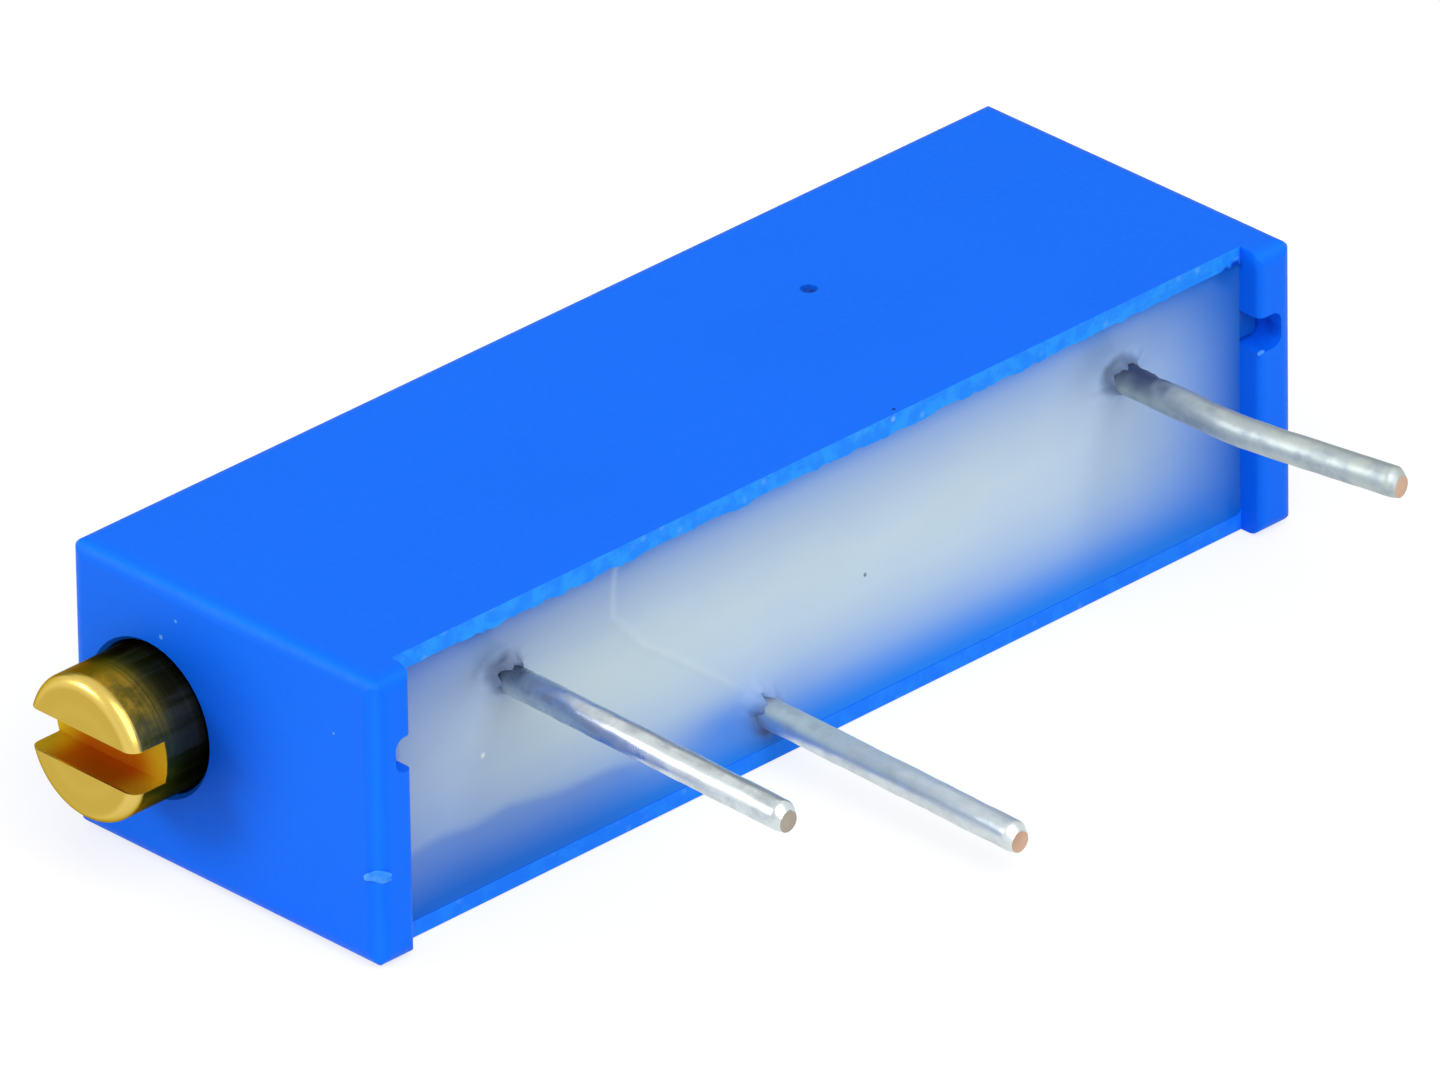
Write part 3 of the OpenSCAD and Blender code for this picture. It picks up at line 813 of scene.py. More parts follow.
@dataclass(frozen=True)
class MouldedBlue(Finish):
    """The case's blue moulding, with paler rims, a painted highlight along its edges, painted
    shade in its far notch, torn rim corner and pits, and a painted shadow beside the screw's head.
    """

    face: Colour = srgb(4, 111, 252)
    second_face: Colour = srgb(3, 105, 244)
    # Painted highlight tone along the case's edges.
    edge: Colour = srgb(18, 132, 255)
    rim: Colour = srgb(36, 150, 255)
    speck: Colour = srgb(104, 172, 255)
    pit_shade_tone: Colour = srgb(3, 34, 104)
    shaded_tone: Colour = srgb(3, 66, 190)
    half_size: Point = (9.525, 3.225, 2.4)
    edge_highlight_width: float = 0.2
    clouding_share: float = 0.3
    edge_highlight_share: float = 0.7
    rim_least: float = 0.55
    torn_share: float = 0.45
    fleck_share: float = 0.5
    speck_share: float = 0.55
    gloss_spread: tuple[float, float] = (0.05, 0.06)
    grain_height: float = 0.25
    torn_height: float = 0.7
    depth: float = 0.012
    rim_y: float = -2.805
    rim_band: Band = Band(0.15, 0.3)
    rim_facing: tuple[float, float] = (-0.9, -0.15)
    lower_rim_share: float = 0.5
    rim_climb: Band = Band(1.0, 4.0)
    # Painted shadow of the screw's head on the end face: its middle in Y and Z, its fade and its
    # strength.
    head_shadow_centre: tuple[float, float] = (0.5, 2.6)
    head_shadow_band: Band = Band(0.4, 2.2)
    head_shadow_share: float = 0.5
    end_face_band: Band = Band(-9.52, -9.45)
    # Pits on the top face and the rim, darkened with painted shade.
    pits: tuple[Spot, ...] = (Spot((3.39, 0.87, 4.76), 0.17), Spot((1.62, -2.7, 4.78), 0.05))
    # Painted shade in the far standoff's notch and under the torn flash at the upper rim's far
    # corner.
    shaded: tuple[Spot, ...] = (Spot((9.02, -3.0, 3.42), 0.34), Spot((8.5, -2.8, 4.48), 0.12),
                                Spot((8.68, -2.8, 4.5), 0.15))
    dust: tuple[Spot, ...] = (Spot((-9.525, 1.28, 3.87), 0.055),
                              Spot((-9.525, 0.955, 4.255), 0.035),
                              Spot((-9.525, -2.35, 3.67), 0.03),
                              Spot((1.5, -2.8, 4.72), 0.06))

    def build(self, shelf: EffectShelf) -> bpy.types.Material:
        """Return the material.

        Args:
            shelf: The shared effects.

        Returns:
            The finished material.
        """
        material, wiring, shader, place = self.begin()
        half = tuple(size*MM for size in self.half_size)
        edges = shelf.place(wiring, Effect.EDGES, {
            "Position": place, "Centre": (0, 0, half[2]), "Half Size": half,
            "Width": self.edge_highlight_width*MM, "Unevenness": 0.7})["Mask"]
        grain = shelf.place(wiring, Effect.GRAIN, {
            "Position": place, "Fine Scale": 9000.0, "Cloud Scale": 260.0})
        torn = shelf.place(wiring, Effect.TARNISH, {
            "Position": place, "Scale": 3200.0, "Level": 0.5, "Softness": 0.1})["Mask"]
        rim = self._rims(wiring, place)
        tone = wiring.mix(wiring.product(grain["Clouding"], self.clouding_share), self.face,
                          self.second_face)
        # Painted highlight along the case's edges.
        tone = wiring.mix(wiring.product(edges, self.edge_highlight_share), tone, self.edge)
        ragged = wiring.math("ADD", self.rim_least, wiring.product(torn, self.torn_share))
        tone = wiring.mix(wiring.product(rim, ragged), tone, self.rim)
        tone = self._speckled(shelf, wiring, place, rim, tone)
        tone = self._shaded(shelf, wiring, place, tone)
        wiring.link(tone, shader, "Base Color")
        gloss = wiring.spread(grain["Height"], self.roughness - self.gloss_spread[0],
                              self.roughness + self.gloss_spread[1])
        wiring.link(gloss, shader, "Roughness")
        height = wiring.math("ADD", wiring.product(grain["Height"], self.grain_height),
                             wiring.product(torn, rim, self.torn_height))
        self.relief(wiring, shader, height, self.depth)
        return material

    def _speckled(self, shelf: EffectShelf, wiring: Wiring, place: bpy.types.NodeSocket,
                  rim: bpy.types.NodeSocket, tone: bpy.types.NodeSocket
                  ) -> bpy.types.NodeSocket:
        """Return a tone with the rims' flecks, the faces' specks and the dust on it.

        Args:
            shelf: The shared effects.
            wiring: The material's wiring.
            place: The object coordinates.
            rim: The rims' mask.
            tone: The tone without them.

        Returns:
            The tone's socket.
        """
        flecks = shelf.place(wiring, Effect.SPECKS, {
            "Position": place, "Scale": 5200.0, "Rarity": 0.8, "Size": 0.42})["Mask"]
        specks = shelf.place(wiring, Effect.SPECKS, {
            "Position": place, "Scale": 1100.0, "Rarity": 0.975, "Size": 0.06})["Mask"]
        dust = self.spots(shelf, wiring, place, self.dust)
        tone = wiring.mix(wiring.product(flecks, rim, self.fleck_share), tone, self.speck)
        pale = wiring.math("MAXIMUM", wiring.product(specks, self.speck_share), dust)
        return wiring.mix(pale, tone, self.speck)

    def _shaded(self, shelf: EffectShelf, wiring: Wiring, place: bpy.types.NodeSocket,
                tone: bpy.types.NodeSocket) -> bpy.types.NodeSocket:
        """Return a tone with the painted shade in the far notch, the torn rim corner and the pits,
        and the painted shadow beside the screw's head.

        Args:
            shelf: The shared effects.
            wiring: The material's wiring.
            place: The object coordinates.
            tone: The tone without them.

        Returns:
            The tone's socket.
        """
        # Painted shade in the far notch and the torn rim corner.
        tone = wiring.mix(self.spots(shelf, wiring, place, self.shaded), tone,
                          self.shaded_tone)
        # Painted shadow of the screw's head on the end face.
        tone = wiring.mix(self._head_shadow(wiring, place), tone, self.shaded_tone)
        # Painted shade in the pits.
        return wiring.mix(self.spots(shelf, wiring, place, self.pits), tone, self.pit_shade_tone)

    def _head_shadow(self, wiring: Wiring, place: bpy.types.NodeSocket) -> bpy.types.NodeSocket:
        """Return the mask of the painted shadow that the screw's head casts on the end face.

        Args:
            wiring: The material's wiring.
            place: The object coordinates.

        Returns:
            The mask's socket.
        """
        x, y, z = wiring.split(place)
        away = wiring.length(wiring.math("SUBTRACT", y, self.head_shadow_centre[0]*MM),
                             wiring.math("SUBTRACT", z, self.head_shadow_centre[1]*MM))
        near = self.head_shadow_band.falling(wiring, away, self.head_shadow_share)
        return wiring.product(near, self.end_face_band.falling(wiring, x))

    def _rims(self, wiring: Wiring, place: bpy.types.NodeSocket) -> bpy.types.NodeSocket:
        """Return the mask of the long rims' narrow faces, weaker on the lower one.

        Args:
            wiring: The material's wiring.
            place: The object coordinates.

        Returns:
            The mask's socket.
        """
        _, y, z = wiring.split(place)
        normal = wiring.add("ShaderNodeTexCoord").outputs["Normal"]
        facing = wiring.ramp(wiring.split(normal)[1], *self.rim_facing, 1.0, 0.0)
        off = wiring.math("ABSOLUTE", wiring.math("SUBTRACT", y, self.rim_y*MM))
        level = self.rim_band.falling(wiring, off)
        upper = wiring.ramp(z, self.rim_climb.start*MM, self.rim_climb.end*MM,
                            self.lower_rim_share, 1.0)
        return wiring.product(facing, level, upper)


@dataclass(frozen=True)
class MilkyResin(Finish):
    """Sealing resin, milky in the middle, with the case showing through near the walls."""

    milky: Colour = srgb(195, 214, 227)
    grey: Colour = srgb(191, 208, 212)
    cloud: Colour = srgb(178, 203, 216)
    wall: Colour = srgb(20, 124, 232)
    shaded_wall: Colour = srgb(12, 96, 196)
    # Slate: the dark tone of the pins' feet, staining and painted shade, and of the dark flecks.
    slate: Colour = srgb(72, 86, 116)
    crest_tone: Colour = srgb(212, 224, 232)
    clouding_share: float = 0.2
    speck_share: float = 0.4
    crest_share: float = 0.32
    dark_fleck_share: float = 0.8
    milk_wobble: float = 0.07
    dark_roughness: float = 0.42
    depth: float = 0.006
    face_y: float = -2.35
    pale_flecks: tuple[Spot, ...] = (Spot((-6.54, -2.35, 2.10), 0.06),)
    dark_flecks: tuple[Spot, ...] = (Spot((1.32, -2.35, 2.00), 0.045),)

    def build(self, shelf: EffectShelf) -> bpy.types.Material:
        """Return the material.

        Args:
            shelf: The shared effects.

        Returns:
            The finished material.
        """
        material, wiring, shader, place = self.begin()
        grain = shelf.place(wiring, Effect.GRAIN, {
            "Position": place, "Fine Scale": 3500.0, "Cloud Scale": 520.0})
        specks = shelf.place(wiring, Effect.SPECKS, {
            "Position": place, "Scale": 1500.0, "Rarity": 0.95, "Size": 0.06})["Mask"]
        body = wiring.mix(wiring.reading("first_pour"), self.milky, self.grey)
        body = wiring.mix(wiring.product(grain["Clouding"], self.clouding_share), body,
                          self.cloud)
        body = wiring.mix(wiring.product(specks, self.speck_share), body, self.crest_tone)
        behind = wiring.mix(wiring.reading("shade"), self.wall, self.shaded_wall)
        tone = wiring.mix(self._milkiness(wiring, grain["Clouding"]), behind, body)
        tone = wiring.mix(wiring.product(wiring.reading("crest"), self.crest_share), tone,
                          self.crest_tone)
        # Staining and painted shade at the pins' feet.
        tone = wiring.mix(wiring.reading("dark"), tone, self.slate)
        wiring.link(self._flecked(shelf, wiring, place, tone), shader, "Base Color")
        gloss = wiring.ramp(wiring.reading("dark"), 0.0, 1.0, self.roughness,
                            self.dark_roughness)
        wiring.link(gloss, shader, "Roughness")
        self.relief(wiring, shader, grain["Height"], self.depth)
        return material

    def _milkiness(self, wiring: Wiring, clouding: bpy.types.NodeSocket
                   ) -> bpy.types.NodeSocket:
        """Return how milky the resin is: the painted share, made slightly uneven.

        Args:
            wiring: The material's wiring.
            clouding: The grain's clouding.

        Returns:
            The share's socket, from 0 to 1.
        """
        wobble = wiring.product(wiring.math("SUBTRACT", clouding, 0.5), self.milk_wobble)
        milk = wiring.reading("milk")
        return wiring.math("ADD", milk, wiring.product(wobble, milk), clamp=True)

    def _flecked(self, shelf: EffectShelf, wiring: Wiring, place: bpy.types.NodeSocket,
                 tone: bpy.types.NodeSocket) -> bpy.types.NodeSocket:
        """Return a tone with the single pale and dark flecks on it.

        The flecks are placed along X and Z only, because the face sags and ripples.

        Args:
            shelf: The shared effects.
            wiring: The material's wiring.
            place: The object coordinates.
            tone: The tone without them.

        Returns:
            The tone's socket.
        """
        flat = wiring.vector("MULTIPLY_ADD", place, (1.0, 0.0, 1.0), (0.0, self.face_y*MM, 0.0))
        pale = self.spots(shelf, wiring, flat, self.pale_flecks)
        sunk = self.spots(shelf, wiring, flat, self.dark_flecks)
        tone = wiring.mix(pale, tone, self.crest_tone)
        return wiring.mix(wiring.product(sunk, self.dark_fleck_share), tone, self.slate)


@dataclass(frozen=True)
class TurnedBrass(Finish):
    """The screw's brass: a painted highlight on the rim, sides darkened towards the case by a
    painted reflection, golden worn patches, and a slot in painted brown shade.

    Its bands along the axis start at the head's face, and those of the rim and the side
    start where the rim's rounding meets the face and the side.
    """

    face: Colour = srgb(203, 175, 84)
    second_face: Colour = srgb(190, 157, 62)
    # Painted highlight tone on the head's rounded rim.
    rim: Colour = srgb(232, 204, 110)
    gold: Colour = srgb(190, 148, 44)
    # The side's tones, darker towards the case: a painted reflection of the case and bore.
    olive: Colour = srgb(112, 98, 34)
    dark: Colour = srgb(58, 48, 18)
    streak: Colour = srgb(168, 150, 104)
    # Painted shade in the slot: deep brown in its middle, golden towards its open ends.
    slot: Colour = srgb(184, 112, 16)
    slot_end_shade: Colour = srgb(200, 168, 40)
    grazing: Colour = srgb(164, 144, 92)
    axis: Point = (-10.905, 1.575, 2.4)
    head_r: float = 1.175
    rim_r: float = 0.2
    rim_band: tuple[float, float] = (-0.02, 0.08)
    side_band: tuple[float, float] = (-0.08, 0.05)
    worn_band: Band = Band(0.45, 0.95)
    dark_reflection_band: Band = Band(0.5, 1.15)
    slot_w: float = 0.68
    slot_depth: float = 0.62
    slot_w_margin: float = 0.008
    slot_depth_margin: float = 0.01
    slot_band: Band = Band(0.01, 0.06)
    slot_end_band: Band = Band(0.45, 1.0)
    sheen_share: float = 0.35
    rim_share: float = 0.6
    streak_share: float = 0.25
    side_dull: float = 0.3
    dull_spread: float = 0.28
    depth: float = 0.003

    def build(self, shelf: EffectShelf) -> bpy.types.Material:
        """Return the material.

        Args:
            shelf: The shared effects.

        Returns:
            The finished material.
        """
        material, wiring, shader, place = self.begin()
        shader.inputs["Specular Tint"].default_value = self.grazing
        centred = wiring.vector("SUBTRACT", place, tuple(value*MM for value in self.axis))
        marks = shelf.place(wiring, Effect.TURNING, {"Position": centred, "Scale": 14000.0})
        patches = shelf.place(wiring, Effect.TARNISH, {
            "Position": place, "Scale": 1300.0, "Level": 0.5, "Softness": 0.1})["Mask"]
        x, y, z = wiring.split(centred)
        rim_start = self.head_r - self.rim_r
        at_rim = wiring.ramp(wiring.length(y, z), (rim_start + self.rim_band[0])*MM,
                             (rim_start + self.rim_band[1])*MM)
        side = wiring.ramp(x, (self.rim_r + self.side_band[0])*MM,
                           (self.rim_r + self.side_band[1])*MM)
        tone = wiring.mix(wiring.product(marks["Sheen"], self.sheen_share), self.face,
                          self.second_face)
        # Painted highlight on the head's rounded rim.
        tone = wiring.mix(wiring.product(at_rim, self.rim_share), tone, self.rim)
        tone = wiring.mix(side, tone, self._flank(shelf, wiring, centred, x, patches))
        # The slot in painted shade, lighter towards its ends.
        sunk = self._slot_mask(wiring, x, z)
        ends = self.slot_end_band.rising(wiring, wiring.math("ABSOLUTE", y))
        tone = wiring.mix(sunk, tone, wiring.mix(ends, self.slot, self.slot_end_shade))
        wiring.link(tone, shader, "Base Color")
        dull = wiring.math("MAXIMUM", wiring.product(side, self.side_dull), sunk)
        gloss = wiring.ramp(dull, 0.0, 1.0, self.roughness, self.roughness + self.dull_spread)
        wiring.link(gloss, shader, "Roughness")
        self.relief(wiring, shader, marks["Height"], self.depth)
        return material

    def _flank(self, shelf: EffectShelf, wiring: Wiring, centred: bpy.types.NodeSocket,
               x: bpy.types.NodeSocket, patches: bpy.types.NodeSocket
               ) -> bpy.types.NodeSocket:
        """Return the tone of the head's side: darker further behind the face as a painted
        reflection of the dark case and bore, streaked, and worn to gold near the face.

        Args:
            shelf: The shared effects.
            wiring: The material's wiring.
            centred: The coordinates from the middle of the head's face.
            x: The distance behind the head's face.
            patches: The mask of the worn patches.

        Returns:
            The tone's socket.
        """
        lines = shelf.place(wiring, Effect.STREAKS, {
            "Position": centred, "Stretch": (0.06, 1.0, 1.0), "Scale": 2600.0})["Mask"]
        # Painted reflection of the dark case and bore, deeper further behind the face.
        flank = wiring.mix(self.dark_reflection_band.rising(wiring, x), self.olive, self.dark)
        flank = wiring.mix(wiring.product(lines, self.streak_share), flank, self.streak)
        worn = wiring.product(self.worn_band.falling(wiring, x), patches)
        return wiring.mix(worn, flank, self.gold)

    def _slot_mask(self, wiring: Wiring, x: bpy.types.NodeSocket,
                   z: bpy.types.NodeSocket) -> bpy.types.NodeSocket:
        """Return the mask of the slot's walls and floor.

        Args:
            wiring: The material's wiring.
            x: The distance behind the head's face.
            z: The distance from the slot's middle plane.

        Returns:
            The mask's socket.
        """
        inside = wiring.math("LESS_THAN", wiring.math("ABSOLUTE", z),
                             (self.slot_w/2 + self.slot_w_margin)*MM)
        above = wiring.math("LESS_THAN", x, (self.slot_depth + self.slot_depth_margin)*MM)
        return wiring.product(inside, above, self.slot_band.rising(wiring, x))


@dataclass
class FinishShelf:
    """Every finish of the part, built once."""

    effects: EffectShelf = field(default_factory=EffectShelf)
    built: dict[str, bpy.types.Material] = field(default_factory=dict)

    def __post_init__(self) -> None:
        """Build the materials."""
        recipes: list[Finish] = [
            MouldedBlue("housing_blue_moulding", 0.48, specular=0.11),
            GrainedFinish("torn_blue_moulding", 0.6, specular=0.2, tone=srgb(36, 136, 252),
                          second_tone=srgb(88, 166, 255), cloud_scale=4000.0, depth=0.02),
            MilkyResin("sealing_resin", 0.3, specular=0.2),
            TurnedBrass("turned_brass", 0.27, metallic=1.0),
            # The foot tones: flux and resin staining, and painted shade at the pins' roots.
            DrawnFinish("tinned_copper_wire", 0.26, metallic=1.0, tone=srgb(212, 221, 221),
                        second_tone=srgb(178, 185, 190), depth=0.003, dull=0.14,
                        patch_scale=2600.0, foot=srgb(62, 72, 98)),
            DrawnFinish("dull_tinned_wire", 0.38, metallic=1.0, tone=srgb(214, 222, 222),
                        second_tone=srgb(190, 199, 202), depth=0.003, dull=0.12,
                        patch_scale=2600.0, foot=srgb(78, 88, 116)),
            DrawnFinish("matte_tinned_wire", 0.5, metallic=1.0, tone=srgb(186, 195, 192),
                        second_tone=srgb(158, 170, 178), depth=0.003, dull=0.08,
                        patch_scale=2600.0, foot=srgb(78, 88, 116)),
            GrainedFinish("cut_grey_copper", 0.55, metallic=0.25, tone=srgb(182, 178, 166),
                          second_tone=srgb(158, 146, 130), fine_scale=16000.0),
            GrainedFinish("cut_tan_copper", 0.5, metallic=0.3, tone=srgb(212, 176, 150),
                          second_tone=srgb(184, 142, 114), fine_scale=16000.0),
            GrainedFinish("moulded_seal_rubber", 0.6, tone=srgb(34, 33, 32),
                          second_tone=srgb(48, 46, 44)),
            DrawnFinish("stamped_clip_steel", 0.32, metallic=1.0, tone=srgb(176, 178, 182),
                        second_tone=srgb(128, 128, 130), stretch=(1.0, 0.25, 1.0)),
            GrainedFinish("moulded_nylon", 0.48, tone=srgb(226, 221, 206),
                          second_tone=srgb(208, 202, 186)),
            DrawnFinish("rolled_spring_bronze", 0.3, metallic=1.0, tone=srgb(214, 160, 110),
                        second_tone=srgb(166, 112, 70), stretch=(0.1, 1.0, 1.0)),
            DrawnFinish("brush_wire_alloy", 0.22, metallic=1.0, tone=srgb(226, 208, 168),
                        second_tone=srgb(178, 156, 120), stretch=(0.15, 1.0, 1.0)),
            GrainedFinish("fired_ceramic", 0.62, tone=srgb(236, 235, 228),
                          second_tone=srgb(218, 216, 206), fine_scale=20000.0),
            GrainedFinish("fired_resistive_film", 0.4, tone=srgb(36, 40, 44),
                          second_tone=srgb(58, 62, 66), fine_scale=22000.0, depth=0.004),
            GrainedFinish("fired_silver_film", 0.38, metallic=0.9, tone=srgb(206, 204, 196),
                          second_tone=srgb(168, 164, 152), fine_scale=18000.0, depth=0.004),
            GrainedFinish("reflowed_solder", 0.28, metallic=1.0, tone=srgb(198, 200, 202),
                          second_tone=srgb(158, 160, 162), fine_scale=5000.0),
        ]
        for recipe in recipes:
            self.built[recipe.label] = recipe.build(self.effects)
            LOG.info("finish %s", recipe.label)

    def __getitem__(self, label: str) -> bpy.types.Material:
        """Return a finished material by its label."""
        return self.built[label]

    def dress(self, node: str, label: str) -> None:
        """Give a solid of the frame its finish.

        Args:
            node: The solid's name.
            label: The finish's label.
        """
        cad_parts[node].material_slots[0].material = self.built[label]
        LOG.info("%s: dressed as %s", node, label)


# ---------------------------------------------------------------- sub-assemblies

@dataclass(frozen=True)
class Fade:
    """A share that grows from 0 at a place to 1 a length further on, in millimetres.

    With a negative length it grows the other way.
    """

    start: float
    length: float

    def at(self, places: np.ndarray) -> np.ndarray:
        """Return the share at the given places, from 0 to 1."""
        return np.clip((places - self.start)/self.length, 0.0, 1.0)


@dataclass
class Case:
    """The blue moulded case, its flash and its chips, in millimetres."""

    finishes: FinishShelf
    rim_y: float = -2.805
    wall_z: float = 4.53
    pocket_x: float = 8.785
    flash_step: float = 0.07
    flash_reach: float = 0.06
    flash_size: tuple[float, float] = (0.04, 0.03)
    flash_depth: float = 0.02
    flash_root: float = 0.01
    flash_gap: float = 0.02
    flash_rise: float = 0.012
    flash_first: float = 0.5
    flash_change: float = 0.34
    flash_least: float = 0.1
    seed: int = 7

    def build(self) -> None:
        """Dress the case and add what its mould left on it."""
        self.finishes.dress("housing", "housing_blue_moulding")
        self._flash("upper_rim_flash", self.wall_z, -1.0)
        self._chip("far_notch_chip", (8.815, -3.205, 3.135), (0.13, 0.05, 0.08), 0.0, 3)
        self._chip("near_standoff_chip", (-9.445, -3.145, 1.57), (0.05, 0.38, 0.2), 45.0, 5)
        self._chip("far_rim_chip", (8.72, -2.805, 4.62), (0.12, 0.03, 0.06), 0.0, 9)

    def _flash(self, name: str, edge_z: float, inward: float) -> None:
        """Model the torn sliver of flash along a long wall's inner edge.

        Args:
            name: The piece's name.
            edge_z: Where the edge lies across the width.
            inward: The direction to the pocket's middle along Z.
        """
        rolls = np.random.default_rng(self.seed)
        run = self.pocket_x - self.flash_gap
        deselect()
        bpy.ops.mesh.primitive_plane_add(
            size=1.0, rotation=(0.0, math.pi/2, 0.0),
            location=(-run*MM, (self.rim_y + self.flash_depth)*MM,
                      (edge_z - inward*self.flash_root)*MM))
        sliver = bpy.context.object
        settle(sliver, (self.flash_size[0]*MM, self.flash_size[1]*MM, 1.0))
        start_edit(sliver)
        bpy.ops.mesh.select_all(action="SELECT")
        steps = int(2*run/self.flash_step)
        height = self.flash_first
        for step in range(steps):
            change = rolls.normal(0.0, self.flash_change)
            height = float(np.clip(height + change, self.flash_least, 1.0))
            reach = self.flash_least if step == steps - 1 else height
            bpy.ops.mesh.extrude_region_move(TRANSFORM_OT_translate={
                "value": (self.flash_step*MM, 0.0, 0.0)})
            tip_z = edge_z + inward*self.flash_reach*reach
            tip_y = self.rim_y - self.flash_rise*rolls.uniform(0.0, 1.0)
            self._shape_ring(sliver, edge_z, inward, tip_y, tip_z)
        end_edit()
        recalculate(sliver)
        smooth_by_angle(sliver, 50)
        hand_over(sliver, name, Body.CASE, [self.finishes["housing_blue_moulding"]])

    def _shape_ring(self, sliver: bpy.types.Object, edge_z: float, inward: float,
                    tip_y: float, tip_z: float) -> None:
        """Move the inner corners of the selected ring to the sliver's torn tip.

        Args:
            sliver: The sliver's object, in edit mode.
            edge_z: Where the wall's edge lies across the width.
            inward: The direction to the pocket's middle along Z.
            tip_y: Where the tip lies along the pins.
            tip_z: Where the tip lies across the width.
        """
        mesh = bmesh.from_edit_mesh(sliver.data)
        for vert in (vert for vert in mesh.verts if vert.select):
            place = vert.co/MM
            if (place.z - edge_z)*inward > 0.0 or place.z == edge_z:
                vert.co.z = tip_z*MM
                if place.y < self.rim_y + self.flash_depth:
                    vert.co.y = tip_y*MM
        bmesh.update_edit_mesh(sliver.data)

    def _chip(self, name: str, centre: Point, size: Point, turn: float, seed: int) -> None:
        """Model a small raised flake of torn plastic.

        Args:
            name: The piece's name.
            centre: Its middle in millimetres.
            size: Its size along each of its own axes in millimetres.
            turn: Its turn about Z in degrees.
            seed: The seed of its outline.
        """
        deselect()
        bpy.ops.mesh.primitive_ico_sphere_add(
            subdivisions=3, radius=0.5, location=tuple(value*MM for value in centre),
            rotation=(0.0, 0.0, math.radians(turn)))
        flake = bpy.context.object
        start_edit(flake)
        bpy.ops.mesh.select_all(action="SELECT")
        bpy.ops.transform.vertex_random(offset=0.3, seed=seed)
        bpy.ops.mesh.vertices_smooth(factor=0.5, repeat=2)
        end_edit()
        smoothing_loss = 1.1
        settle(flake, tuple(smoothing_loss*value*MM for value in size))
        recalculate(flake)
        smooth_by_angle(flake, 40)
        hand_over(flake, name, Body.CASE, [self.finishes["torn_blue_moulding"]])


@dataclass(frozen=True)
class Pin:
    """One wire pin: its solid, its place and its shape in millimetres."""

    node: str
    x: float
    z: float
    out: float
    lean: float = 0.0
    bend: float = 0.0
    tin: str = "dull_tinned_wire"
    cut: str = "cut_tan_copper"
    lumps: float = 0.0
    foot: float = 0.3


@dataclass(frozen=True)
class Lumps:
    """One layer of unevenness: the lumps' size and their height, in millimetres."""

    size: float
    height: float


